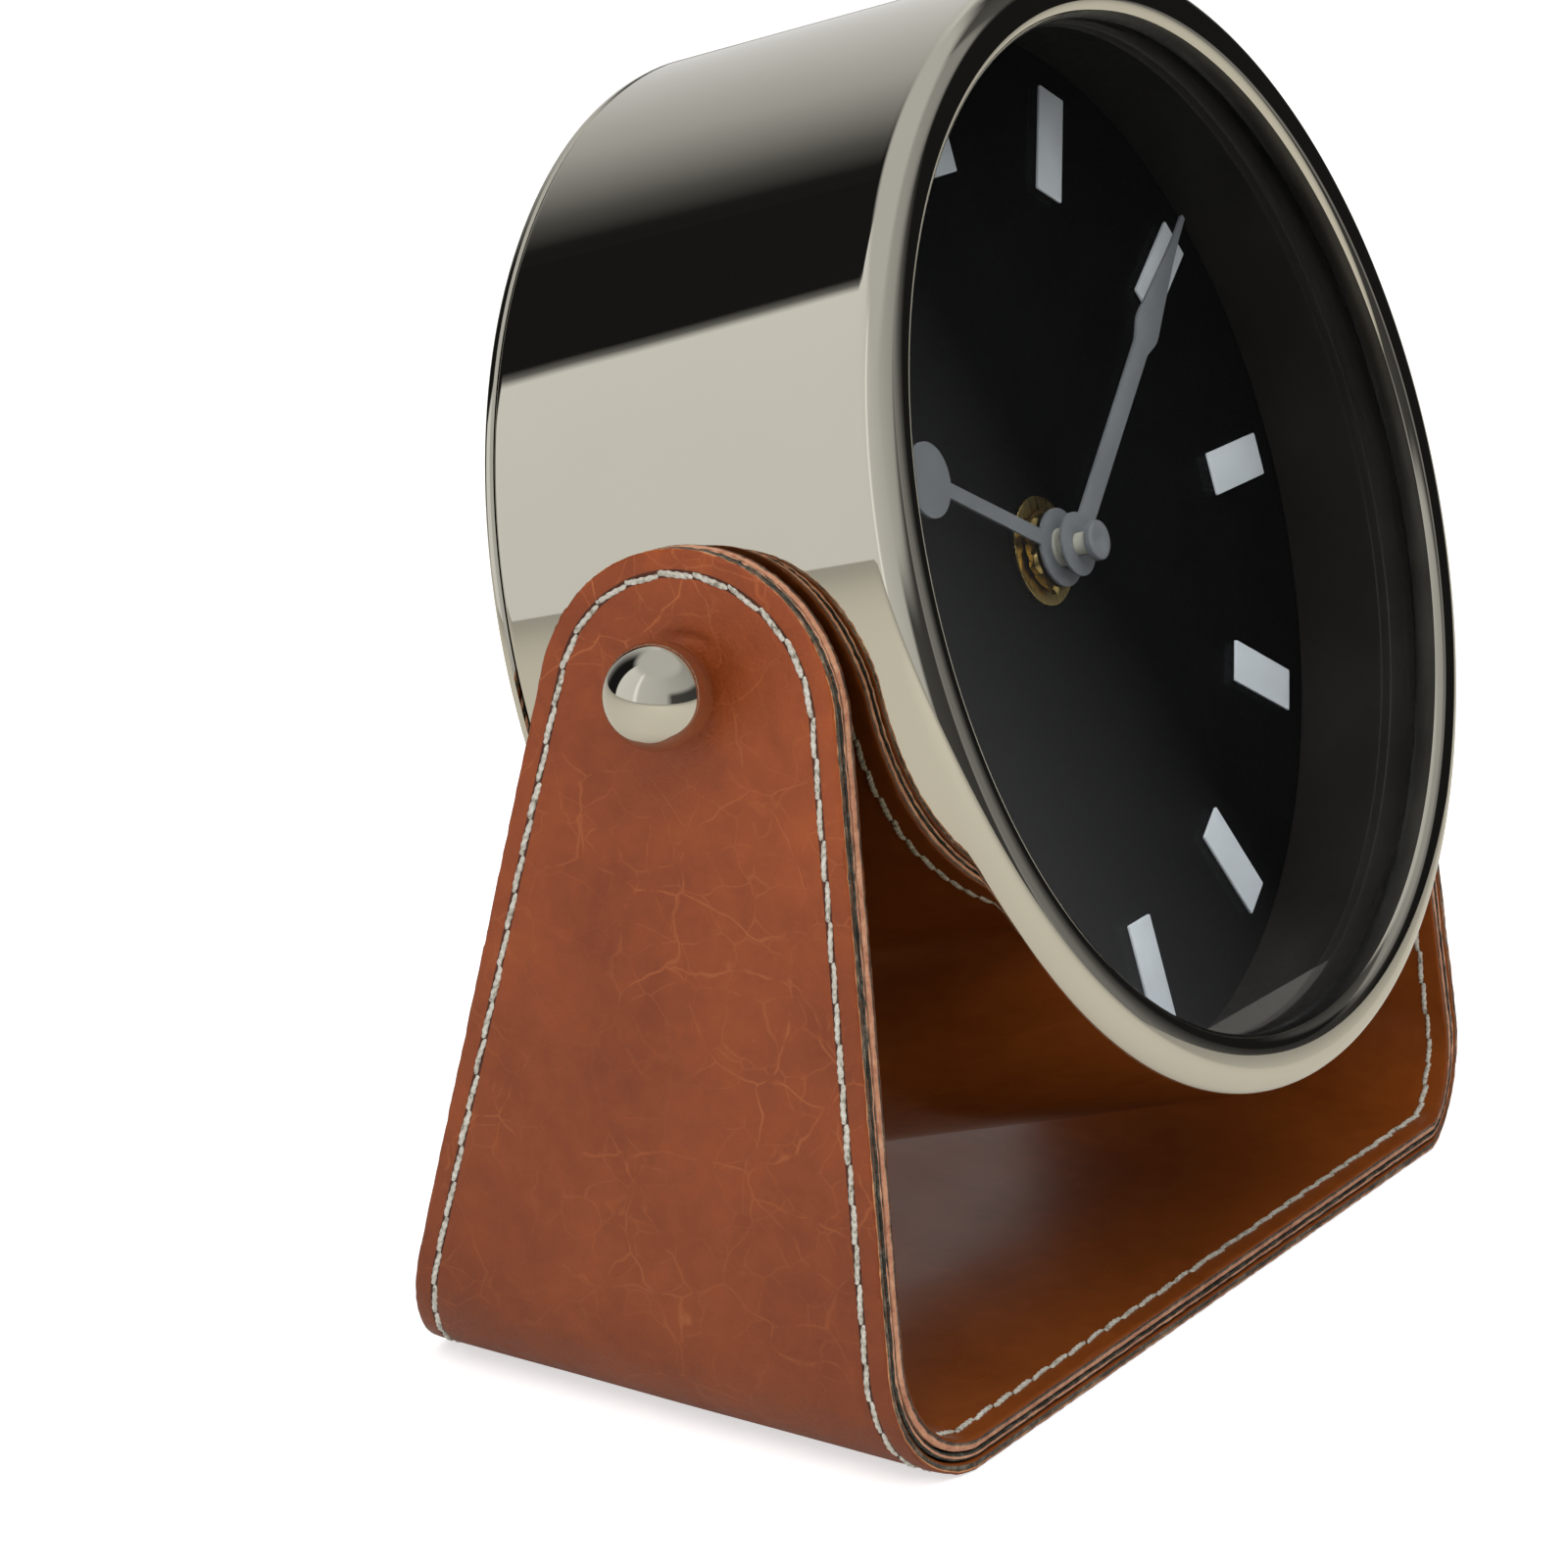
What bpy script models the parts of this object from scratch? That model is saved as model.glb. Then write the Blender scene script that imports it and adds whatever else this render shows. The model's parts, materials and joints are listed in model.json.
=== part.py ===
"""Round desk clock that tilts between the arms of a saddle-leather stand.

A drum-shaped metal head turns on two studs.  The studs pass through the arms of a
U-shaped leather strap and end in ball knobs.  Behind the glass are a black dial with
twelve applied hour marks, two hands and a two-hand quartz movement, which is reached
through a square well in the back cover.

World frame: metres, +Z up, the clock faces -Y, origin on the table under the pivot.
Face frame (all of the head): x to a viewer's right, y up the dial, z out of the dial
towards the viewer, origin on the pivot axis in the middle of the drum.
"""

import bpy
import bmesh
from math import acos, asin, atan2, cos, degrees, hypot, pi, radians, sin, sqrt

MM = 0.001
GAP = 0.3 * MM                       # clearance between neighbouring solids

# Head
PIVOT_HEIGHT = 96.6 * MM
TILT = radians(18.85)                # the dial leans back by this much
DRUM_RADIUS = 75.0 * MM
DRUM_FRONT = 29.8 * MM               # crest of the rim, in front of the pivot axis
DRUM_BACK = 29.9 * MM
WALL = 1.2 * MM
RIM_OUTER_ROUND = 3.2 * MM
RIM_INNER_ROUND = 2.2 * MM
RIM_OPENING = 67.2 * MM
RIM_DEPTH = 4.3 * MM                 # crest to the glass
GLASS_THICKNESS = 2.0 * MM
DIAL_FACE = 4.2 * MM                 # front of the dial, in front of the pivot axis
DIAL_THICKNESS = 0.6 * MM
DIAL_VIEW_RADIUS = 70.9 * MM
DIAL_TURN = radians(-1.4)            # the dial was fitted a little anticlockwise

# Hour marks and hands
MARK_INNER = 51.4 * MM
MARK_OUTER = 66.7 * MM
MARK_WIDTH = 6.1 * MM
MARK_THICKNESS = 0.4 * MM
HOUR_ANGLE = radians(62.1)           # anticlockwise from twelve: just after ten
MINUTE_ANGLE = radians(-54.8)
HAND_THICKNESS = 0.5 * MM
HOUR_HAND_HEIGHT = 3.1 * MM          # above the dial
MINUTE_HAND_HEIGHT = 5.7 * MM
BUSH_HEIGHT = 2.8 * MM
HAND_NUT_HEIGHT = 8.4 * MM

# Movement: levels are heights in the face frame
MOVEMENT_SIDE = 56.0 * MM
MOVEMENT_FRONT = DIAL_FACE - 2.0 * MM
MOVEMENT_WALL = 1.2 * MM
FLANGE_TOP = MOVEMENT_FRONT - MOVEMENT_WALL - GAP
FLANGE_BOTTOM = FLANGE_TOP - 0.7 * MM
HOUR_LEVEL = MOVEMENT_FRONT - 3.4 * MM
MINUTE_LEVEL = MOVEMENT_FRONT - 4.6 * MM
CENTRE_LEVEL = MOVEMENT_FRONT - 6.8 * MM
THIRD_LEVEL = MOVEMENT_FRONT - 8.8 * MM
ROTOR_TOP = MOVEMENT_FRONT - 10.4 * MM
ROTOR_BOTTOM = MOVEMENT_FRONT - 13.4 * MM
BRIDGE_TOP = MOVEMENT_FRONT - 14.6 * MM
BRIDGE_BOTTOM = MOVEMENT_FRONT - 15.4 * MM
ARBOR_END = MOVEMENT_FRONT - 15.3 * MM
CASE_RIM = MOVEMENT_FRONT - 16.0 * MM
WHEEL_THICKNESS = 0.8 * MM

BUSH_RADIUS = 4.0 * MM
HOUR_TUBE_RADIUS = 2.6 * MM
ARBOR_RADIUS = 1.5 * MM
LOWER_ARBOR_RADIUS = 1.0 * MM
WHEEL_ARBOR_RADIUS = 0.5 * MM
SET_ARBOR_RADIUS = 1.0 * MM
ROTOR_RADIUS = 3.0 * MM

# Pitch radii: 12 to 36 teeth and 10 to 40 teeth bring the hour hand down to 1/12
CANNON_PITCH = 2.4 * MM
MINUTE_PITCH = 7.2 * MM
MINUTE_PINION_PITCH = 1.92 * MM
HOUR_PITCH = 7.68 * MM
SET_PITCH = 3.6 * MM
CENTRE_PITCH = 7.5 * MM
THIRD_PINION_PITCH = 1.0 * MM
THIRD_PITCH = 7.04 * MM
ROTOR_PINION_PITCH = 0.88 * MM
MINUTE_WHEEL_AXIS = (-(CANNON_PITCH + MINUTE_PITCH), 0.0)
SET_AXIS = (MINUTE_WHEEL_AXIS[0] - (MINUTE_PITCH + SET_PITCH) * cos(radians(60)),
            (MINUTE_PITCH + SET_PITCH) * sin(radians(60)))
THIRD_DISTANCE = CENTRE_PITCH + THIRD_PINION_PITCH
ROTOR_DISTANCE = THIRD_DISTANCE + THIRD_PITCH + ROTOR_PINION_PITCH
THIRD_WHEEL_AXIS = (THIRD_DISTANCE * cos(pi / 4), THIRD_DISTANCE * sin(pi / 4))
ROTOR_AXIS = (ROTOR_DISTANCE * cos(pi / 4), ROTOR_DISTANCE * sin(pi / 4))

CELL_RADIUS = 7.0 * MM
CELL_LENGTH = 49.0 * MM
CELL_Y = -18.0 * MM
CELL_Z = MOVEMENT_FRONT - MOVEMENT_WALL - GAP - CELL_RADIUS

# Back cover
CASE_END = -28.2 * MM                # rear edge of the drum
WELL_HALF = 26.0 * MM                # half the side of the well in the back cover

# Stand
STAND_HALF_WIDTH = 80.9 * MM         # outer face of an arm at the pivot height
ARM_LEAN = radians(3.4)
BEND_RADIUS = 16.0 * MM
BASE_HALF_DEPTH = 38.9 * MM
ARM_TOP_RADIUS = 21.1 * MM
ARM_TOP_BELOW_PIVOT = 4.6 * MM
LEATHER = 1.5 * MM
CORE = 0.9 * MM
STRAP_THICKNESS = 2 * LEATHER + CORE + 2 * GAP

# Pivot hardware
STUD_RADIUS = 2.0 * MM
KNOB_RADIUS = 6.7 * MM
KNOB_CENTRE = 6.2 * MM               # outside the outer face of the arm

ROUND_STEPS = 48
SMALL_STEPS = 20


# ---------------------------------------------------------------- scene helpers

def clear_scene():
    for obj in list(bpy.data.objects):
        bpy.data.objects.remove(obj, do_unlink=True)


def make_collection(name):
    collection = bpy.data.collections.new(name)
    bpy.context.scene.collection.children.link(collection)
    return collection


def make_material(name, colour, roughness, metallic=0.0):
    material = bpy.data.materials.new(name)
    material.use_nodes = True
    shader = material.node_tree.nodes["Principled BSDF"]
    shader.inputs["Base Color"].default_value = (*colour, 1.0)
    shader.inputs["Roughness"].default_value = roughness
    shader.inputs["Metallic"].default_value = metallic
    return material


clear_scene()
PARTS = make_collection("tilting_desk_clock")
CUTTERS = make_collection("cutters")

NICKEL = make_material("nickel", (0.66, 0.63, 0.57), 0.08, 1.0)
STEEL = make_material("steel", (0.55, 0.55, 0.54), 0.3, 1.0)
BRASS = make_material("brass", (0.72, 0.50, 0.20), 0.3, 1.0)
GLASS = make_material("glass", (0.80, 0.85, 0.85), 0.02)
BLACK = make_material("black_paint", (0.012, 0.012, 0.012), 0.6)
WHITE = make_material("white_paint", (0.75, 0.76, 0.78), 0.5)
GREY = make_material("grey_paint", (0.25, 0.26, 0.28), 0.45)
LEATHER_TAN = make_material("tan_leather", (0.30, 0.085, 0.03), 0.4)
BOARD = make_material("fibre_board", (0.03, 0.028, 0.024), 0.9)
PLASTIC = make_material("black_plastic", (0.02, 0.02, 0.02), 0.5)
GEAR_PLASTIC = make_material("pale_plastic", (0.70, 0.68, 0.60), 0.4)
RUBBER = make_material("rubber", (0.03, 0.03, 0.03), 0.8)
COPPER = make_material("copper", (0.70, 0.30, 0.15), 0.3, 1.0)
GREEN_BOARD = make_material("circuit_board", (0.03, 0.16, 0.06), 0.5)
CELL_WRAP = make_material("cell_wrap", (0.10, 0.12, 0.16), 0.35)


def add_object(name, mesh, material, parent=None, location=(0, 0, 0), rotation=(0, 0, 0)):
    obj = bpy.data.objects.new(name, mesh)
    obj.location = location
    obj.rotation_euler = rotation
    obj.parent = parent
    mesh.materials.clear()
    mesh.materials.append(material)
    PARTS.objects.link(obj)
    return obj


def hide_as_cutter(obj):
    for collection in list(obj.users_collection):
        collection.objects.unlink(obj)
    CUTTERS.objects.link(obj)
    obj.hide_render = True
    obj.display_type = "WIRE"


def boolean(target, other, operation):
    hide_as_cutter(other)
    modifier = target.modifiers.new(operation.lower(), "BOOLEAN")
    modifier.operation = operation
    modifier.solver = "EXACT"
    modifier.object = other
    return target


def cut(target, cutter):
    return boolean(target, cutter, "DIFFERENCE")


def join(target, other):
    return boolean(target, other, "UNION")


# ---------------------------------------------------------------- shape helpers

def arc(centre_r, centre_z, radius, start, end, steps):
    """Points of an arc in a turned profile; angles in degrees from the radial direction."""
    points = []
    for i in range(steps + 1):
        angle = radians(start + (end - start) * i / steps)
        points.append((centre_r + radius * cos(angle), centre_z + radius * sin(angle)))
    return points


def turned(name, profile, material, parent=None, location=(0, 0, 0), rotation=(0, 0, 0),
           steps=ROUND_STEPS):
    """Turn a profile of (radius, height) about z; it runs down the outer side.

    A profile that starts and ends on the axis is a solid; any other one is closed to a
    ring.
    """
    on_axis = profile[0][0] == 0.0 and profile[-1][0] == 0.0
    count = len(profile)
    edges = [(i, i + 1) for i in range(count - 1)]
    if not on_axis:
        edges.append((count - 1, 0))
    mesh = bpy.data.meshes.new(name)
    mesh.from_pydata([(r, 0.0, z) for r, z in profile], edges, [])
    obj = add_object(name, mesh, material, parent, location, rotation)
    screw = obj.modifiers.new("turn", "SCREW")
    screw.axis = "Z"
    screw.steps = steps
    screw.render_steps = steps
    screw.use_merge_vertices = True
    screw.merge_threshold = 0.00001
    screw.use_smooth_shade = True
    return obj


def rod(name, radius, bottom, top, material, parent=None, location=(0, 0, 0),
        rotation=(0, 0, 0), steps=SMALL_STEPS, chamfer=0.0):
    profile = [(0.0, top), (radius - chamfer, top), (radius, top - chamfer)] if chamfer \
        else [(0.0, top), (radius, top)]
    profile += [(radius, bottom + chamfer), (radius - chamfer, bottom)] if chamfer \
        else [(radius, bottom)]
    profile.append((0.0, bottom))
    return turned(name, profile, material, parent, location, rotation, steps)


def ring(name, inner, outer, bottom, top, material, parent=None, location=(0, 0, 0),
         rotation=(0, 0, 0), steps=SMALL_STEPS):
    profile = [(outer, top), (outer, bottom), (inner, bottom), (inner, top)]
    return turned(name, profile, material, parent, location, rotation, steps)


def circle_points(radius, count, centre=(0.0, 0.0), start=0.0):
    return [(centre[0] + radius * cos(start + 2 * pi * i / count),
             centre[1] + radius * sin(start + 2 * pi * i / count)) for i in range(count)]


def arc_points(centre, radius, start, end, steps):
    """Points of an arc on the dial; angles in degrees, anticlockwise from x."""
    points = []
    for i in range(steps + 1):
        angle = radians(start + (end - start) * i / steps)
        points.append((centre[0] + radius * cos(angle), centre[1] + radius * sin(angle)))
    return points


def plate(name, loops, bottom, top, material, parent=None, location=(0, 0, 0),
          rotation=(0, 0, 0)):
    """A flat piece: the first loop is its outline, the others are holes in it."""
    curve = bpy.data.curves.new(name, "CURVE")
    curve.dimensions = "2D"
    curve.fill_mode = "BOTH"
    curve.extrude = (top - bottom) / 2
    curve.resolution_u = 1
    for loop in loops:
        spline = curve.splines.new("POLY")
        spline.points.add(len(loop) - 1)
        for point, (x, y) in zip(spline.points, loop):
            point.co = (x, y, 0.0, 1.0)
        spline.use_cyclic_u = True
    outline = bpy.data.objects.new(name + "_outline", curve)
    PARTS.objects.link(outline)
    bpy.context.view_layer.update()
    evaluated = outline.evaluated_get(bpy.context.evaluated_depsgraph_get())
    mesh = bpy.data.meshes.new_from_object(evaluated)
    bpy.data.objects.remove(outline, do_unlink=True)
    bm = bmesh.new()
    bm.from_mesh(mesh)
    bmesh.ops.remove_doubles(bm, verts=bm.verts, dist=0.000001)
    bmesh.ops.translate(bm, verts=bm.verts, vec=(0.0, 0.0, (top + bottom) / 2))
    bmesh.ops.recalc_face_normals(bm, faces=bm.faces)
    bm.to_mesh(mesh)
    bm.free()
    return add_object(name, mesh, material, parent, location, rotation)


def box(name, low, high, material, parent=None):
    """A block between two opposite corners."""
    size = [b - a for a, b in zip(low, high)]
    middle = [(a + b) / 2 for a, b in zip(low, high)]
    bm = bmesh.new()
    bmesh.ops.create_cube(bm, size=1.0)
    bmesh.ops.scale(bm, verts=bm.verts, vec=size)
    bmesh.ops.translate(bm, verts=bm.verts, vec=middle)
    mesh = bpy.data.meshes.new(name)
    bm.to_mesh(mesh)
    bm.free()
    return add_object(name, mesh, material, parent)


def gear_outline(teeth, radius):
    """Outline of a toothed wheel: four points for each tooth, tips at the given radius."""
    points = []
    tooth = min(0.5 * MM, 0.2 * radius)
    pitch = 2 * pi / teeth
    for i in range(teeth):
        for share, r in ((-0.34, radius - tooth), (-0.14, radius), (0.14, radius),
                         (0.34, radius - tooth)):
            angle = (i + share) * pitch
            points.append((r * cos(angle), r * sin(angle)))
    return points


# ---------------------------------------------------------------- head

def make_face_frame():
    face = bpy.data.objects.new("face_frame", None)
    face.location = (0.0, 0.0, PIVOT_HEIGHT)
    face.rotation_euler = (pi / 2 - TILT, 0.0, 0.0)
    PARTS.objects.link(face)
    return face


def make_case(face):
    """Spun drum whose front edge is rolled inwards over the glass."""
    glass_seat = DRUM_FRONT - RIM_DEPTH + GAP
    inner = DRUM_RADIUS - WALL
    profile = arc(DRUM_RADIUS - RIM_OUTER_ROUND, DRUM_FRONT - RIM_OUTER_ROUND,
                  RIM_OUTER_ROUND, 90, 0, 5)
    profile.append((DRUM_RADIUS, CASE_END))
    profile.append((inner, CASE_END))
    profile.append((inner, glass_seat))
    profile.append((RIM_OPENING + 1.0 * MM, glass_seat))
    profile += arc(RIM_OPENING + RIM_INNER_ROUND, DRUM_FRONT - RIM_INNER_ROUND,
                   RIM_INNER_ROUND, 180, 90, 4)
    case = turned("case_drum", profile, NICKEL, face)
    for side in (-1, 1):
        hole = rod("case_hole_cutter", STUD_RADIUS + GAP, -4 * MM, 4 * MM, STEEL, face,
                   (side * (DRUM_RADIUS - WALL), 0.0, 0.0), (0.0, pi / 2, 0.0))
        cut(case, hole)
    return case


def make_glass_and_sleeve(face):
    glass_top = DRUM_FRONT - RIM_DEPTH
    glass_bottom = glass_top - GLASS_THICKNESS
    fit_radius = DRUM_RADIUS - WALL - GAP
    rod("front_glass", fit_radius, glass_bottom, glass_top, GLASS, face,
        steps=ROUND_STEPS, chamfer=0.4 * MM)
    ring("inner_sleeve", DIAL_VIEW_RADIUS, fit_radius, DIAL_FACE + GAP, glass_bottom - GAP,
         BLACK, face, steps=ROUND_STEPS)
    ring("dial", BUSH_RADIUS + GAP, fit_radius, DIAL_FACE - DIAL_THICKNESS, DIAL_FACE,
         BLACK, face, steps=ROUND_STEPS)


def make_hour_marks(face):
    bottom = DIAL_FACE + GAP
    half = MARK_WIDTH / 2
    for hour in range(1, 13):
        mark = box(f"hour_mark_{hour:02d}", (-half, MARK_INNER, bottom),
                   (half, MARK_OUTER, bottom + MARK_THICKNESS), WHITE, face)
        mark.rotation_euler.z = -(hour * pi / 6 + DIAL_TURN)


def make_hands(face):
    """Hour hand with a round moon near its tip, minute hand with a long leaf."""
    hub = circle_points(HOUR_TUBE_RADIUS + GAP, SMALL_STEPS)
    hour_outline = arc_points((0, 0), 5.3 * MM, 102, 438, 30)
    moon_centre = 32.2 * MM
    moon_radius = 5.0 * MM
    tip = 44.0 * MM
    hour_outline += arc_points((0, moon_centre), moon_radius, -78, 78, 12)
    hour_outline += [(0.5 * MM, tip), (-0.5 * MM, tip)]
    hour_outline += arc_points((0, moon_centre), moon_radius, 102, 258, 12)
    level = DIAL_FACE + HOUR_HAND_HEIGHT
    hour_turn = (0.0, 0.0, HOUR_ANGLE - DIAL_TURN)
    plate("hour_hand", [hour_outline, hub], level, level + HAND_THICKNESS, GREY, face,
          rotation=hour_turn)

    minute_half = 1.7 * MM
    right_side = [(minute_half, 37.0 * MM), (2.8 * MM, 40.4 * MM), (2.4 * MM, 44.0 * MM),
                  (1.6 * MM, 50.0 * MM), (0.8 * MM, 56.0 * MM), (0.5 * MM, 63.0 * MM)]
    minute_outline = arc_points((0, 0), 4.3 * MM, 114, 426, 26)
    minute_outline += right_side
    minute_outline += [(-x, y) for x, y in reversed(right_side)]
    small_hub = circle_points(ARBOR_RADIUS + GAP, SMALL_STEPS)
    level = DIAL_FACE + MINUTE_HAND_HEIGHT
    minute_turn = (0.0, 0.0, MINUTE_ANGLE - DIAL_TURN)
    plate("minute_hand", [minute_outline, small_hub], level, level + HAND_THICKNESS, GREY,
          face, rotation=minute_turn)

    level = DIAL_FACE + HAND_NUT_HEIGHT
    profile = [(0.0, level + 1.1 * MM), (2.4 * MM, level + 1.1 * MM),
               (2.7 * MM, level + 0.8 * MM), (2.7 * MM, level), (0.0, level)]
    turned("hand_nut", profile, GREY, face, steps=SMALL_STEPS)


# ---------------------------------------------------------------- movement

def make_bush_and_fasteners(face):
    """Threaded bush, the washers either side of the dial and the nut that clamps it."""
    hole = BUSH_RADIUS + GAP
    inner = HOUR_TUBE_RADIUS + GAP
    flange = 6.0 * MM
    profile = [(BUSH_RADIUS, DIAL_FACE + BUSH_HEIGHT), (BUSH_RADIUS, FLANGE_TOP),
               (flange, FLANGE_TOP), (flange, FLANGE_BOTTOM), (inner, FLANGE_BOTTOM),
               (inner, DIAL_FACE + BUSH_HEIGHT)]
    turned("threaded_bush", profile, BRASS, face, steps=SMALL_STEPS)
    ring("rubber_washer", hole, 12 * MM, MOVEMENT_FRONT + GAP,
         DIAL_FACE - DIAL_THICKNESS - GAP, RUBBER, face)
    washer_top = DIAL_FACE + GAP + 0.5 * MM
    ring("dial_washer", hole, 7.4 * MM, DIAL_FACE + GAP, washer_top, BRASS, face)
    nut = [circle_points(6.15 * MM, 6, start=radians(12)), circle_points(hole, SMALL_STEPS)]
    plate("dial_nut", nut, washer_top + GAP, washer_top + GAP + 1.5 * MM, BRASS, face)


def make_movement_housing(face):
    side = MOVEMENT_SIDE / 2
    inside = side - MOVEMENT_WALL
    case = box("movement_case", (-side, -side, CASE_RIM), (side, side, MOVEMENT_FRONT),
               PLASTIC, face)
    room = box("movement_room_cutter", (-inside, -inside, CASE_RIM - MM),
               (inside, inside, MOVEMENT_FRONT - MOVEMENT_WALL), PLASTIC, face)
    cut(case, room)
    cut(case, rod("bush_hole_cutter", BUSH_RADIUS + GAP, MOVEMENT_FRONT - 3 * MM,
                  MOVEMENT_FRONT + MM, PLASTIC, face))

    lid_top = CASE_RIM - GAP
    lid_bottom = lid_top - MOVEMENT_WALL
    lid = box("movement_lid", (-side, -side, lid_bottom), (side, side, lid_top), PLASTIC,
              face)
    cell_half = CELL_LENGTH / 2 + MM
    cell_low = CELL_Y - CELL_RADIUS - GAP
    cell_high = CELL_Y + CELL_RADIUS + GAP
    cut(lid, box("cell_opening_cutter", (-cell_half, cell_low, lid_bottom - MM),
                 (cell_half, cell_high, lid_top + MM), PLASTIC, face))
    cut(lid, rod("knob_hole_cutter", SET_ARBOR_RADIUS + GAP, lid_bottom - MM, lid_top + MM,
                 PLASTIC, face, (*SET_AXIS, 0.0)))

    bridge = box("train_bridge", (-19 * MM, -9.5 * MM, BRIDGE_BOTTOM),
                 (20 * MM, 17 * MM, BRIDGE_TOP), PLASTIC, face)
    bearings = [((0.0, 0.0), LOWER_ARBOR_RADIUS), (MINUTE_WHEEL_AXIS, WHEEL_ARBOR_RADIUS),
                (THIRD_WHEEL_AXIS, WHEEL_ARBOR_RADIUS), (ROTOR_AXIS, WHEEL_ARBOR_RADIUS),
                (SET_AXIS, SET_ARBOR_RADIUS)]
    for axis, radius in bearings:
        cut(bridge, rod("bearing_cutter", radius + GAP, BRIDGE_BOTTOM - MM,
                        BRIDGE_TOP + MM, PLASTIC, face, (*axis, 0.0)))


def toothed(name, teeth, radius, bottom, material, face, axis, hole=None):
    loops = [gear_outline(teeth, radius)]
    if hole:
        loops.append(circle_points(hole, SMALL_STEPS))
    return plate(name, loops, bottom, bottom + WHEEL_THICKNESS, material, face,
                 (*axis, 0.0))


def make_wheels(face):
    """Going train and motion work.  Tips stop GAP / 2 short of the pitch circles."""
    clearance = GAP / 2
    centre = (0.0, 0.0)

    hour = toothed("hour_wheel", 40, HOUR_PITCH - clearance, HOUR_LEVEL, GEAR_PLASTIC, face,
                   centre, ARBOR_RADIUS + GAP)
    tube_top = DIAL_FACE + HOUR_HAND_HEIGHT + HAND_THICKNESS + GAP
    join(hour, ring("hour_tube_piece", ARBOR_RADIUS + GAP, HOUR_TUBE_RADIUS,
                    HOUR_LEVEL, tube_top, GEAR_PLASTIC, face))

    arbor_top = DIAL_FACE + HAND_NUT_HEIGHT - GAP
    profile = [(0.0, arbor_top), (ARBOR_RADIUS, arbor_top),
               (ARBOR_RADIUS, MINUTE_LEVEL - 0.2 * MM),
               (LOWER_ARBOR_RADIUS, MINUTE_LEVEL - 0.2 * MM),
               (LOWER_ARBOR_RADIUS, ARBOR_END), (0.0, ARBOR_END)]
    wheel = turned("centre_wheel", profile, GEAR_PLASTIC, face, steps=SMALL_STEPS)
    join(wheel, toothed("cannon_pinion_piece", 12, CANNON_PITCH - clearance, MINUTE_LEVEL,
                        GEAR_PLASTIC, face, centre))
    join(wheel, toothed("centre_wheel_piece", 45, CENTRE_PITCH - clearance, CENTRE_LEVEL,
                        GEAR_PLASTIC, face, centre))

    trains = [
        ("minute_wheel", MINUTE_WHEEL_AXIS, WHEEL_ARBOR_RADIUS, HOUR_LEVEL + 1.0 * MM,
         ARBOR_END, [(36, MINUTE_PITCH, MINUTE_LEVEL), (10, MINUTE_PINION_PITCH, HOUR_LEVEL)]),
        ("third_wheel", THIRD_WHEEL_AXIS, WHEEL_ARBOR_RADIUS, CENTRE_LEVEL + 1.0 * MM,
         ARBOR_END, [(6, THIRD_PINION_PITCH, CENTRE_LEVEL), (48, THIRD_PITCH, THIRD_LEVEL)]),
        ("step_rotor", ROTOR_AXIS, WHEEL_ARBOR_RADIUS, THIRD_LEVEL + 1.0 * MM,
         ARBOR_END, [(6, ROTOR_PINION_PITCH, THIRD_LEVEL)]),
        ("time_set_knob", SET_AXIS, SET_ARBOR_RADIUS, MINUTE_LEVEL + 1.0 * MM,
         CASE_RIM - 3.0 * MM, [(18, SET_PITCH, MINUTE_LEVEL)]),
    ]
    made = {}
    for name, axis, radius, top, bottom, wheels in trains:
        piece = rod(name, radius, bottom, top, GEAR_PLASTIC, face, (*axis, 0.0))
        for teeth, pitch, level in wheels:
            join(piece, toothed(f"{name}_{teeth}_piece", teeth, pitch - clearance, level,
                                GEAR_PLASTIC, face, axis))
        made[name] = piece
    join(made["step_rotor"], rod("rotor_magnet_piece", ROTOR_RADIUS, ROTOR_BOTTOM,
                                 ROTOR_TOP, STEEL, face, (*ROTOR_AXIS, 0.0)))
    knob_top = CASE_RIM - MOVEMENT_WALL - 2 * GAP
    join(made["time_set_knob"],
         rod("set_knob_piece", 5.0 * MM, knob_top - 4.0 * MM, knob_top, PLASTIC, face,
             (*SET_AXIS, 0.0), chamfer=0.5 * MM))


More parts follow.
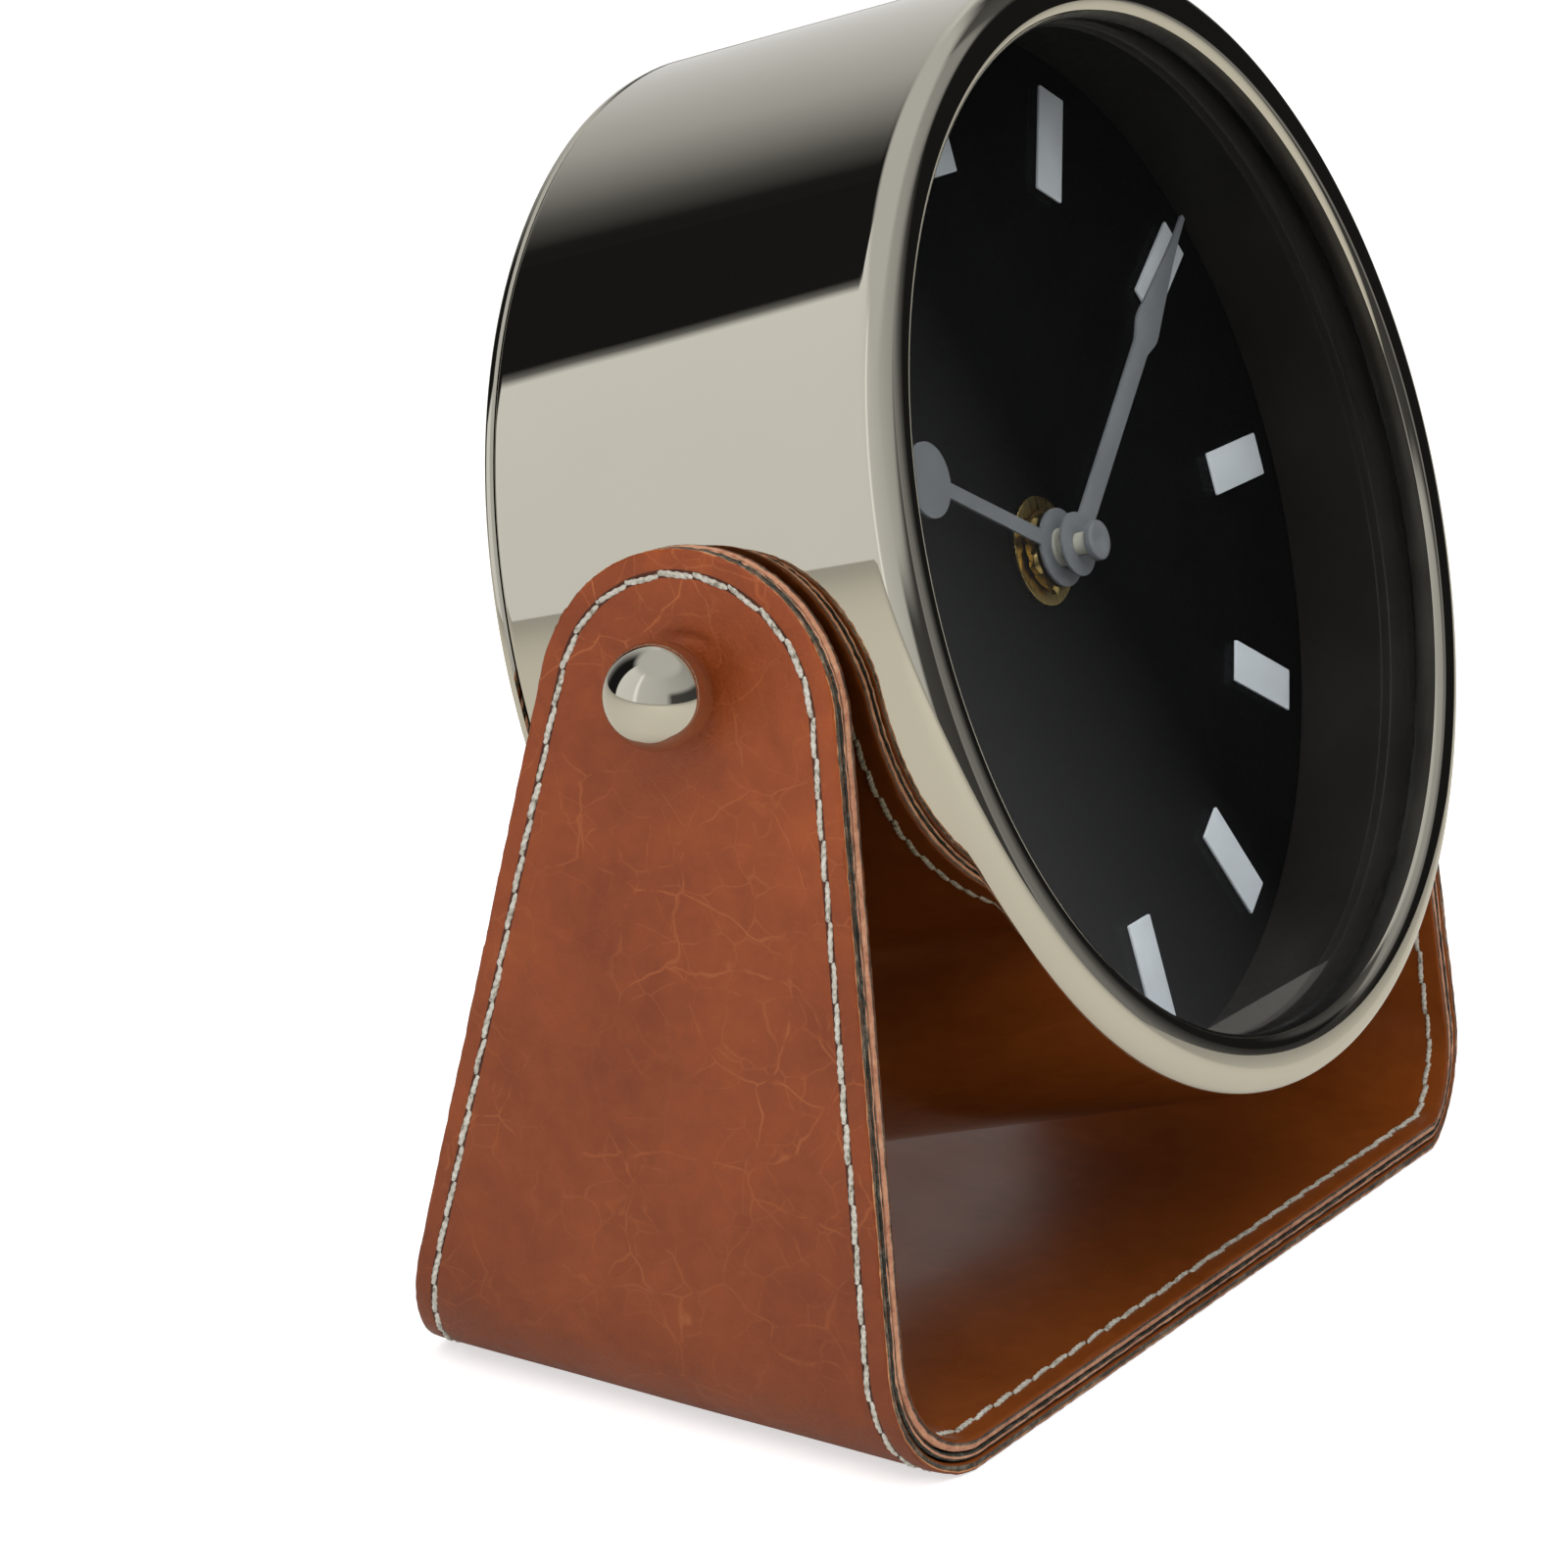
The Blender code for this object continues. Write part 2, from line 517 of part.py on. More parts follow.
def make_motor_and_supply(face):
    """Stator and coil of the stepping motor, circuit board, crystal, cell and contacts."""
    stator_top = ROTOR_TOP - 1.2 * MM
    stator_bottom = stator_top - 1.0 * MM
    stator = box("stator", (-13 * MM, 7 * MM, stator_bottom),
                 (24 * MM, 17.5 * MM, stator_top), STEEL, face)
    cut(stator, rod("rotor_hole_cutter", ROTOR_RADIUS + 2 * GAP, ROTOR_BOTTOM,
                    ROTOR_TOP, STEEL, face, (*ROTOR_AXIS, 0.0)))
    half = 10.0 * MM
    cheek = 3.2 * MM
    winding = 2.7 * MM
    coil_centre = (4.0 * MM, 21.8 * MM, ROTOR_TOP - 1.0 * MM)
    profile = [(0.0, half), (cheek, half), (cheek, half - MM), (winding, half - MM),
               (winding, MM - half), (cheek, MM - half), (cheek, -half), (0.0, -half)]
    turned("motor_coil", profile, COPPER, face, coil_centre, (0.0, pi / 2, 0.0), SMALL_STEPS)
    board_top = ROTOR_BOTTOM + 0.1 * MM
    box("circuit_board", (-26 * MM, -2 * MM, board_top - 0.8 * MM),
        (-17 * MM, 24 * MM, board_top), GREEN_BOARD, face)
    can_radius = 1.0 * MM
    can_height = board_top + can_radius + 0.4 * MM
    rod("quartz_crystal", can_radius, -3 * MM, 3 * MM, STEEL, face,
        (-22 * MM, 4 * MM, can_height), (pi / 2, 0.0, 0.0))

    half = CELL_LENGTH / 2
    cell = rod("cell", CELL_RADIUS, -half, half - MM, CELL_WRAP, face,
               (0.0, CELL_Y, CELL_Z), (0.0, pi / 2, 0.0), chamfer=0.6 * MM)
    join(cell, rod("cell_button_piece", 2.8 * MM, 0.0, half, CELL_WRAP, face,
                   (0.0, CELL_Y, CELL_Z), (0.0, pi / 2, 0.0)))
    for name, side in (("cell_contact_minus", -1), ("cell_contact_plus", 1)):
        near = half + GAP
        far = near + 0.5 * MM
        low, high = sorted((side * near, side * far))
        box(name, (low, CELL_Y - 5 * MM, CELL_Z - 5 * MM),
            (high, CELL_Y + 5 * MM, CELL_Z + 5 * MM), BRASS, face)


def make_back_cover(face):
    """Back disc with a spigot that fits in the drum and a square well to the movement."""
    edge = 0.3 * MM
    spigot = DRUM_RADIUS - WALL - GAP
    spigot_end = CASE_END + 6.0 * MM
    flange_front = CASE_END - GAP
    profile = [(0.0, flange_front), (spigot - WALL, flange_front),
               (spigot - WALL, spigot_end), (spigot, spigot_end), (spigot, flange_front),
               (DRUM_RADIUS - edge, flange_front), (DRUM_RADIUS, flange_front - edge),
               (DRUM_RADIUS, edge - DRUM_BACK), (DRUM_RADIUS - edge, -DRUM_BACK),
               (0.0, -DRUM_BACK)]
    cover = turned("back_cover", profile, NICKEL, face)
    well_end = CASE_RIM - MOVEMENT_WALL - 2 * GAP
    outside = WELL_HALF + WALL
    join(cover, box("well_piece", (-outside, -outside, flange_front - MM),
                    (outside, outside, well_end), NICKEL, face))
    cut(cover, box("well_cutter", (-WELL_HALF, -WELL_HALF, -DRUM_BACK - MM),
                   (WELL_HALF, WELL_HALF, well_end + MM), NICKEL, face))


# ---------------------------------------------------------------- pivots and stand

def make_pivots(face):
    arm_inside = STAND_HALF_WIDTH - STRAP_THICKNESS
    for name, side in (("left", -1), ("right", 1)):
        turn = (0.0, side * pi / 2, 0.0)
        case_inside = DRUM_RADIUS - WALL - GAP
        rod(f"pivot_stud_{name}", STUD_RADIUS, case_inside - 4.2 * MM,
            STAND_HALF_WIDTH + 5.3 * MM, STEEL, face, rotation=turn, chamfer=0.3 * MM)
        nut = [circle_points(3.8 * MM, 6, start=pi / 6),
               circle_points(STUD_RADIUS + GAP, SMALL_STEPS)]
        plate(f"pivot_nut_{name}", nut, case_inside - 3.2 * MM, case_inside - 0.1 * MM,
              STEEL, face, rotation=turn)
        ring(f"pivot_washer_{name}", STUD_RADIUS + GAP, 4.5 * MM, DRUM_RADIUS + 0.25 * MM,
             arm_inside - 0.5 * MM, PLASTIC, face, rotation=turn)
        foot = 0.5 * MM - KNOB_CENTRE
        foot_angle = degrees(asin(foot / KNOB_RADIUS))
        bore_end = -0.5 * MM
        profile = [(0.0, KNOB_RADIUS)] + arc(0.0, 0.0, KNOB_RADIUS, 78, foot_angle, 10)
        profile += [(STUD_RADIUS + GAP, foot), (STUD_RADIUS + GAP, bore_end),
                    (0.0, bore_end)]
        turned(f"ball_knob_{name}", profile, NICKEL, face,
               (side * (STAND_HALF_WIDTH + KNOB_CENTRE), 0.0, 0.0), turn, 24)


class Strap:
    """Outer surface of the strap: a flat base, two bends and two leaning arms.

    Distance s runs along the outer surface from the middle of the base.
    """

    def __init__(self):
        sweep = pi / 2 + ARM_LEAN
        bend_top = BEND_RADIUS * (1 + sin(ARM_LEAN))
        arm_to_pivot = (PIVOT_HEIGHT - bend_top) / cos(ARM_LEAN)
        self.flat = (STAND_HALF_WIDTH + arm_to_pivot * sin(ARM_LEAN)
                     - BEND_RADIUS * cos(ARM_LEAN))
        self.bend_end = self.flat + BEND_RADIUS * sweep
        self.sweep = sweep
        self.circle = self.bend_end + arm_to_pivot - ARM_TOP_BELOW_PIVOT
        self.top = self.circle + ARM_TOP_RADIUS
        run = self.circle - self.flat
        self.taper = acos(ARM_TOP_RADIUS / hypot(BASE_HALF_DEPTH, run)) \
            - atan2(run, BASE_HALF_DEPTH)

    def place(self, s, inset):
        """Point (x, z) at distance s, set in from the outer surface."""
        side = 1 if s >= 0 else -1
        s = abs(s)
        if s <= self.flat:
            return side * s, inset
        angle = min((s - self.flat) / BEND_RADIUS, self.sweep)
        radius = BEND_RADIUS - inset
        x = self.flat + radius * sin(angle)
        z = BEND_RADIUS - radius * cos(angle)
        beyond = max(s - self.bend_end, 0.0)
        return side * (x + beyond * cos(angle)), z + beyond * sin(angle)

    def half_width(self, s):
        s = abs(s)
        if s <= self.flat:
            return BASE_HALF_DEPTH
        above = s - self.circle
        if above < ARM_TOP_RADIUS * sin(self.taper):
            return ARM_TOP_RADIUS / cos(self.taper) - above * sin(self.taper) / cos(self.taper)
        return sqrt(max(ARM_TOP_RADIUS ** 2 - above ** 2, 0.0))

    def stations(self):
        """Rows of the strap from the middle of the base to the top of an arm."""
        rows = [0.0, self.flat]
        rows += [self.flat + (self.bend_end - self.flat) * i / 10 for i in range(1, 11)]
        start = self.taper
        for i in range(13):
            angle = start + (pi / 2 - start) * i / 12
            rows.append(self.circle + ARM_TOP_RADIUS * sin(angle))
        return [-s for s in reversed(rows[1:])] + rows


def make_stand():
    """Three layers: leather, fibre core, leather, each bent to the same path."""
    strap = Strap()
    rows = strap.stations()
    layers = (("stand_outer_leather", 0.0, LEATHER, LEATHER_TAN),
              ("stand_core", LEATHER + GAP, CORE, BOARD),
              ("stand_inner_leather", LEATHER + CORE + 2 * GAP, LEATHER, LEATHER_TAN))
    for name, start, thickness, material in layers:
        bm = bmesh.new()
        bmesh.ops.create_grid(bm, x_segments=len(rows) - 1, y_segments=2, size=1.0)
        for vert in bm.verts:
            s = rows[round((vert.co.x + 1) / 2 * (len(rows) - 1))]
            x, z = strap.place(s, start + thickness / 2)
            vert.co = (x, vert.co.y * strap.half_width(s), z)
        bmesh.ops.remove_doubles(bm, verts=bm.verts, dist=0.000001)
        mesh = bpy.data.meshes.new(name)
        bm.to_mesh(mesh)
        bm.free()
        layer = add_object(name, mesh, material)
        shell = layer.modifiers.new("thickness", "SOLIDIFY")
        shell.thickness = thickness
        shell.offset = 0.0
        for side in (-1, 1):
            cut(layer, rod("stud_hole_cutter", STUD_RADIUS + 0.4 * MM, -8 * MM, 8 * MM,
                           STEEL, None, (side * STAND_HALF_WIDTH, 0.0, PIVOT_HEIGHT),
                           (0.0, pi / 2, 0.0)))


def main():
    face = make_face_frame()
    make_case(face)
    make_glass_and_sleeve(face)
    make_hour_marks(face)
    make_hands(face)
    make_bush_and_fasteners(face)
    make_movement_housing(face)
    make_wheels(face)
    make_motor_and_supply(face)
    make_back_cover(face)
    make_pivots(face)
    make_stand()


main()
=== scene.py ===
"""Looks of the round desk clock on its saddle-leather stand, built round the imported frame.

Face coordinates (everything on the head): x to a viewer's right, y up the dial, z out of
the dial, origin on the pivot axis in the middle of the drum.  Lengths are in metres.
"""

import json
from math import acos, asin, atan2, cos, degrees, exp, hypot, pi, radians, sin, tan

import bmesh
import bpy
from mathutils import Matrix, Vector, noise


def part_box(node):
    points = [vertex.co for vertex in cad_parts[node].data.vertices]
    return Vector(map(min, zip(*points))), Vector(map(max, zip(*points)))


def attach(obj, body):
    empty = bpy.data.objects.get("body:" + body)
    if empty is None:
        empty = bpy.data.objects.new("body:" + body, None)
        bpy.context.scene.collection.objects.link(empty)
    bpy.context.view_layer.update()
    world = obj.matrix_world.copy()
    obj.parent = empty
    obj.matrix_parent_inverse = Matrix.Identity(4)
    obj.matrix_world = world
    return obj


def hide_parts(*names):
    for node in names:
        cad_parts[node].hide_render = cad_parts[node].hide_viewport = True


MM = 0.001
MERGE = 0.002 * MM

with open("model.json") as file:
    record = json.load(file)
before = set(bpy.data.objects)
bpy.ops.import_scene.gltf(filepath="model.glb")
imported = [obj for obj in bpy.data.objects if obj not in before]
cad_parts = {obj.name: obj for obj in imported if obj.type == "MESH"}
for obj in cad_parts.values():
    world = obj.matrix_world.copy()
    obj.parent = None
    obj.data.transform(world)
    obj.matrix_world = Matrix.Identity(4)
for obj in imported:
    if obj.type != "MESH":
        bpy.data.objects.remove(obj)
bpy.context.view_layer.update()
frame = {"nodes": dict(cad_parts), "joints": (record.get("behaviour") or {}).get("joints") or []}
NODES = frame["nodes"]
JOINTS = {joint["name"]: joint for joint in frame["joints"]}


# ---- sizes read from the frame

def face_matrix():
    """Place of the face frame: the hands turn clockwise about an axis into the dial."""
    joint = JOINTS["minute_hand_turn"]
    out = -Vector(joint["axis"]).normalized()
    right = Vector((1.0, 0.0, 0.0))
    up = out.cross(right)
    matrix = Matrix((right, up, out)).transposed().to_4x4()
    matrix.translation = Vector(joint["pos_m"])
    return matrix


FACE = face_matrix()
TO_FACE = FACE.inverted()


def face_points(name):
    """Vertices of a CAD node in face coordinates."""
    return [TO_FACE @ vertex.co for vertex in NODES[name].data.vertices]


def face_box(name):
    """Lowest and highest corner of a CAD node in face coordinates."""
    points = face_points(name)
    low = Vector([min(p[i] for p in points) for i in range(3)])
    high = Vector([max(p[i] for p in points) for i in range(3)])
    return low, high


def levels(name):
    """Back and front level of a CAD node along the face's z."""
    low, high = face_box(name)
    return low.z, high.z


def face_radius(name):
    """Outer radius of a CAD node about the middle of the dial."""
    return max(hypot(p.x, p.y) for p in face_points(name))


PIVOT_HEIGHT = FACE.translation.z
DRUM_RADIUS = face_radius("case_drum")
DRUM_END, DRUM_FRONT = levels("case_drum")
COVER_BACK = levels("back_cover")[0]
GLASS_BOTTOM, GLASS_TOP = levels("front_glass")
DIAL_BACK, DIAL_FACE = levels("dial")
WELL_END = levels("movement_lid")[0] - 0.3 * MM
DIAL_TURN = radians(-1.4)
DIAL_VIEW_RADIUS = 70.9 * MM
NUT_BORE = 4.3 * MM
WALL = 1.2 * MM
RIM_OPENING = 67.2 * MM
RIM_OUTER_ROUND = 3.2 * MM
RIM_INNER_ROUND = 2.2 * MM

STAND_HALF_WIDTH = 80.9 * MM
ARM_LEAN = radians(3.4)
BEND_RADIUS = 16.0 * MM
BASE_HALF_DEPTH = 38.9 * MM
ARM_TOP_RADIUS = 21.1 * MM
ARM_TOP_BELOW_PIVOT = 4.6 * MM
LEATHER = 1.5 * MM
CORE = 0.9 * MM
LAYER_GAP = 0.3 * MM
KNOB_X = abs(JOINTS["left_knob_turn"]["pos_m"][0])
KNOB_RADIUS = 6.7 * MM
STITCH_INSET = 3.0 * MM
STITCH_PITCH = 5.0 * MM


# ---- node materials

def socket_name(key):
    """Name of a shader socket from a keyword such as specular_ior_level."""
    return key.replace("_", " ").title().replace("Ior", "IOR")


def scaled(colour, factor):
    """A colour made darker or brighter."""
    return tuple(min(1.0, c * factor) for c in colour)


class Nodes:
    """A node tree, with short ways to add the few kinds of node used here."""

    def __init__(self, tree):
        self.tree = tree

    def add(self, kind, values=None, **settings):
        """Add a node; a value that is a socket is linked, any other is set."""
        made = self.tree.nodes.new("ShaderNode" + kind)
        for name, value in settings.items():
            setattr(made, name, value)
        for name, value in (values or {}).items():
            if isinstance(value, bpy.types.NodeSocket):
                self.tree.links.new(value, made.inputs[name])
            else:
                made.inputs[name].default_value = value
        return made

    def spread(self, value, low, high, from_low=0.3, from_high=0.7, **settings):
        """Map a texture value to a range."""
        made = self.add("MapRange", {"Value": value, "From Min": from_low, "From Max": from_high,
                                     "To Min": low, "To Max": high}, **settings)
        return made.outputs["Result"]

    def ramp(self, value, stops):
        """Colour ramp from (position, (r, g, b)) pairs."""
        made = self.add("ValToRGB", {"Fac": value})
        elements = made.color_ramp.elements
        for i, (position, colour) in enumerate(stops):
            element = elements[i] if i < 2 else elements.new(position)
            element.position = position
            element.color = (*colour, 1.0)
        return made.outputs["Color"]

    def calc(self, operation, first, second=0.0):
        """Sum, product or the like of two values."""
        return self.add("Math", {0: first, 1: second}, operation=operation).outputs[0]

    def sum(self, first, first_share, second, second_share):
        """Two values added up, each by its share."""
        return self.calc("ADD", self.calc("MULTIPLY", first, first_share),
                         self.calc("MULTIPLY", second, second_share))

    def move(self, operation, first, second, other=1):
        """Sum, product or scaling of a vector; other is the second value's socket."""
        return self.add("VectorMath", {0: first, other: second}, operation=operation).outputs[0]

    def mix(self, factor, first, second):
        """Blend of two colours, each a socket or (r, g, b)."""
        first, second = (c if isinstance(c, bpy.types.NodeSocket) else (*c, 1.0)
                         for c in (first, second))
        made = self.add("Mix", {"Factor": factor, 6: first, 7: second}, data_type="RGBA")
        return made.outputs[2]


class Finish(Nodes):
    """A principled material with its plain values set, ready for textures."""

    def __init__(self, name, colour, roughness, **values):
        self.material = bpy.data.materials.new(name)
        self.material.use_nodes = True
        super().__init__(self.material.node_tree)
        self.shader = self.tree.nodes["Principled BSDF"]
        self.coords = self.add("TexCoord").outputs["Object"]
        values.update(base_color=(*colour, 1.0), roughness=roughness)
        for key, value in values.items():
            self.shader.inputs[socket_name(key)].default_value = value

    def feed(self, **sources):
        """Link textures to the shader's sockets, as in roughness=texture."""
        for key, source in sources.items():
            self.tree.links.new(source, self.shader.inputs[socket_name(key)])

    def noise(self, scale, detail=3.0, rough=0.55, distortion=0.0):
        """Noise texture as one value per point."""
        made = self.add("TexNoise", {
            "Vector": self.coords, "Scale": scale, "Detail": detail, "Roughness": rough,
            "Distortion": distortion})
        return made.outputs["Fac"]

    def bump(self, height, distance, strength=1.0, below=None):
        """Bump from a texture, on top of another bump if one is given."""
        values = {"Height": height, "Distance": distance, "Strength": strength}
        if below is not None:
            values["Normal"] = below
        normal = self.add("Bump", values).outputs["Normal"]
        self.feed(normal=normal)
        return normal


def nickel_material(name, wave):
    """Polished nickel plate: long shallow waves, fine wiping haze and a warm tone."""
    tone = (0.65, 0.62, 0.53)
    look = Finish(name, tone, 0.05, metallic=1.0)
    haze = look.noise(60.0, 4.0)
    fine = look.calc("MULTIPLY", look.noise(1400.0, 2.0), 0.008)
    look.feed(base_color=look.ramp(haze, [(0.3, scaled(tone, 0.985)), (0.7, tone)]),
              roughness=look.calc("ADD", look.spread(haze, 0.010, 0.026), fine))
    look.bump(look.noise(28.0, 1.0, 0.4), wave)
    return look.material


def leather_colour(look, dark, light, cloud_scale):
    """Cloudy dye: two soft layers of noise between a dark and a light tone."""
    cloud = look.noise(cloud_scale, 5.0, 0.6, 0.4)
    mottle = look.noise(260.0, 4.0, 0.65)
    mid = tuple((a + b) / 2 for a, b in zip(dark, light))
    return look.ramp(look.sum(cloud, 0.65, mottle, 0.35),
                     [(0.36, dark), (0.5, mid), (0.64, light)]), mottle


def crease_net(look):
    """Broken net of creases: the warped edges of coarse and fine cells, in patches."""
    warp = look.add("TexNoise", {"Vector": look.coords, "Scale": 130.0, "Detail": 2.0})
    shift = look.move("MULTIPLY", warp.outputs["Color"], (0.006, 0.006, 0.003))
    bent = look.move("ADD", look.coords, shift)
    lines = []
    for scale, width in ((80.0, 0.016), (175.0, 0.026)):
        cells = look.add("TexVoronoi", {"Vector": bent, "Scale": scale},
                         feature="DISTANCE_TO_EDGE").outputs["Distance"]
        lines.append(look.spread(cells, 1.0, 0.0, 0.0, width))
    patches = look.spread(look.noise(36.0, 3.0), 0.15, 1.0, 0.42, 0.62)
    broken = look.spread(look.noise(240.0, 2.0), 0.0, 1.0, 0.38, 0.50)
    net = look.calc("MAXIMUM", lines[0], look.calc("MULTIPLY", lines[1], 0.6))
    return look.calc("MULTIPLY", look.calc("MULTIPLY", net, patches), broken)


def outer_leather_material(name, dark, light, crease, roughness):
    """Waxed saddle leather that has cracked a little: cloudy dye, pale creases, fine
    wrinkles, pores and small scuffs, with painted shade: darker towards the foot, lighter higher
    up."""
    look = Finish(name, dark, roughness, coat_weight=0.05, coat_roughness=0.3,
                  specular_ior_level=0.32)
    colour, mottle = leather_colour(look, dark, light, 30.0)
    creases = crease_net(look)
    colour = look.mix(look.calc("MULTIPLY", creases, 0.58), colour, crease)
    scuffs = look.spread(look.noise(900.0, 3.0, 0.7, 1.5), 0.0, 0.3, 0.70, 0.78)
    colour = look.mix(scuffs, colour, tuple(min(1.0, c * 1.8 + 0.03) for c in light))
    # painted shade: the base colour is scaled by height, darker at the foot and lighter higher up,
    # as the light falls
    height = look.add("SeparateXYZ", {"Vector": look.coords}).outputs["Z"]
    painted_shade_by_height = look.spread(height, 0.72, 1.18, 0.0, 0.115)
    look.feed(base_color=look.move("SCALE", colour, painted_shade_by_height, "Scale"),
              roughness=look.spread(mottle, roughness - 0.07, roughness + 0.09))

    cells = look.add("TexVoronoi", {"Vector": look.coords, "Scale": 1500.0})
    pores = look.spread(cells.outputs["Distance"], 0.0, 1.0, 0.0, 0.45)
    below = look.bump(look.noise(520.0, 5.0, 0.7, 0.8), 0.00016)
    below = look.bump(pores, 0.00006, 0.7, below)
    look.bump(creases, 0.00012, -1.0, below)
    return look.material


def inner_leather_material(name, dark, light, roughness):
    """The same hide, smooth and glazed: even dye and shallow waves."""
    look = Finish(name, dark, roughness, coat_weight=0.03, coat_roughness=0.2,
                  specular_ior_level=0.15)
    waves = look.noise(60.0, 1.0, 0.4)
    look.feed(base_color=leather_colour(look, dark, light, 14.0)[0],
              roughness=look.spread(waves, roughness - 0.03, roughness + 0.06))
    look.bump(waves, 0.00006)
    return look.material


def fibre_material(name, colours, roughness=0.8, scale=900.0, depth=0.00018):
    """Cut edge of leather or board: short rough fibres in streaks of several tones."""
    look = Finish(name, colours[0], roughness)
    fleck = look.noise(scale, 5.0, 0.75, 0.6)
    mixed = look.sum(fleck, 0.6, look.noise(scale * 0.22, 3.0, 0.6, 0.3), 0.4)
    last = len(colours) - 1
    stops = [(0.38 + 0.24 * i / last, colour) for i, colour in enumerate(colours)]
    look.feed(base_color=look.ramp(mixed, stops),
              roughness=look.spread(fleck, roughness - 0.15, roughness + 0.1))
    look.bump(mixed, depth)
    return look.material


def speckled_material(name, colour, roughness, variation=0.15, scale=700.0, depth=0.00002,
                      **values):
    """Moulded, painted or plated finish with a fine orange-peel and uneven gloss."""
    look = Finish(name, colour, roughness, **values)
    grain = look.noise(scale, 3.0)
    stops = [(0.35, scaled(colour, 1.0 - variation)), (0.65, scaled(colour, 1.0 + variation))]
    look.feed(base_color=look.ramp(look.noise(scale * 0.06, 3.0), stops),
              roughness=look.spread(grain, max(0.02, roughness - 0.06), roughness + 0.06))
    look.bump(grain, depth)
    return look.material


def brushed_material(name, colour, roughness, variation=0.12, scale=(2600.0, 120.0, 120.0)):
    """Turned or drawn metal: fine lines along one direction."""
    look = Finish(name, colour, roughness, metallic=1.0)
    look.coords = look.add("Mapping", {"Vector": look.coords, "Scale": scale}).outputs["Vector"]
    lines = look.noise(1.0, 4.0, 0.6)
    look.feed(base_color=look.ramp(lines, [(0.3, scaled(colour, 1.0 - variation)), (0.7, colour)]),
              roughness=look.spread(lines, roughness - 0.08, roughness + 0.08))
    look.bump(lines, 0.00001)
    return look.material


def thread_material(name):
    """Waxed linen thread: warm off-white plies with soiled hollows."""
    look = Finish(name, (0.56, 0.52, 0.44), 0.6, sheen_weight=0.2)
    stops = [(0.34, (0.20, 0.18, 0.13)), (0.46, (0.50, 0.47, 0.39)), (0.66, (0.68, 0.65, 0.57))]
    look.feed(base_color=look.ramp(look.noise(1100.0, 4.0, 0.7), stops))
    plies = look.add("TexWave", {"Vector": look.coords, "Scale": 900.0, "Distortion": 3.0,
                                 "Detail": 2.0}, bands_direction="DIAGONAL")
    look.bump(plies.outputs["Fac"], 0.00008)
    return look.material


def glass_material(name):
    """Clear plate with a trace of green."""
    look = Finish(name, (0.97, 1.0, 0.99), 0.0, transmission_weight=1.0, ior=1.5)
    stops = [(0.3, (0.96, 0.99, 0.98)), (0.7, (0.98, 1.0, 0.99))]
    look.feed(base_color=look.ramp(look.noise(90.0, 2.0), stops))
    return look.material


NICKEL = nickel_material("nickel_drum", 0.00004)
NICKEL_BALL = nickel_material("nickel_ball", 0.00001)
# painted shade: a much darker copy of the nickel for the inner wall of the drum's lip
NICKEL_PAINTED_SHADE = speckled_material("nickel_lip_painted_shade", (0.055, 0.052, 0.046), 0.38, 0.2, 900.0,
                                 metallic=1.0)
OUTER_FACE = outer_leather_material("outer_leather_face", (0.198, 0.0385, 0.0085),
                                    (0.298, 0.063, 0.013), (0.46, 0.14, 0.042), 0.42)
# painted shade: a darker copy of the outer leather in the groove along the stitching
GROOVE_PAINTED_SHADE = outer_leather_material("outer_leather_groove_painted_shade", (0.050, 0.012, 0.005),
                                     (0.090, 0.022, 0.008), (0.16, 0.05, 0.02), 0.5)
INNER_FACE = inner_leather_material("inner_leather_face", (0.150, 0.034, 0.0045),
                                    (0.225, 0.056, 0.009), 0.30)
CUT_GREY = fibre_material("cut_edge_grey", [
    (0.022, 0.018, 0.013), (0.085, 0.070, 0.050), (0.26, 0.21, 0.15)])
CUT_ROSE = fibre_material("cut_edge_rose", [
    (0.34, 0.13, 0.07), (0.50, 0.23, 0.13), (0.62, 0.33, 0.20)])
CUT_TAN = fibre_material("cut_edge_tan", [
    (0.36, 0.13, 0.045), (0.50, 0.21, 0.08), (0.62, 0.30, 0.14)])
CUT_DARK = fibre_material("cut_edge_dark", [
    (0.030, 0.014, 0.008), (0.070, 0.030, 0.015), (0.15, 0.06, 0.03)])
CORE_FIBRE = fibre_material("core_fibre", [
    (0.008, 0.008, 0.006), (0.03, 0.03, 0.022), (0.13, 0.12, 0.09)], 0.85, 1300.0, 0.0003)
THREAD = thread_material("waxed_thread")
# painted shade: near-black for the inside of the needle holes
HOLE_PAINTED_SHADE = fibre_material("needle_hole", [(0.004, 0.003, 0.002), (0.012, 0.009, 0.006)])
GLASS = glass_material("front_glass")
DIAL_BLACK = speckled_material("dial_black", (0.0022, 0.0022, 0.0025), 0.62, 0.2, 1800.0,
                               0.0000004, specular_ior_level=0.06)
SLEEVE_BLACK = speckled_material("sleeve_black", (0.0160, 0.0138, 0.0124), 0.5, 0.2, 900.0,
                                 specular_ior_level=0.12)
MARK_WHITE = speckled_material("mark_white", (0.84, 0.88, 0.95), 0.5, 0.05, 1500.0, 0.00001)
HAND_GREY = speckled_material("hand_grey", (0.20, 0.21, 0.23), 0.42, 0.08, 1500.0, 0.00001)
BRASS = brushed_material("brass_turned", (0.46, 0.33, 0.12), 0.30)
STEEL = brushed_material("steel_turned", (0.50, 0.50, 0.49), 0.3)
BLACK_PLASTIC = speckled_material("moulded_black", (0.022, 0.022, 0.023), 0.42, 0.15, 1600.0)
GEAR_PLASTIC = speckled_material("moulded_pale", (0.62, 0.60, 0.52), 0.4, 0.06)
RUBBER = speckled_material("rubber_black", (0.02, 0.02, 0.02), 0.8, 0.2, 1200.0)
COPPER = brushed_material("copper_winding", (0.62, 0.27, 0.13), 0.3, 0.3, (7000.0, 200.0, 200.0))
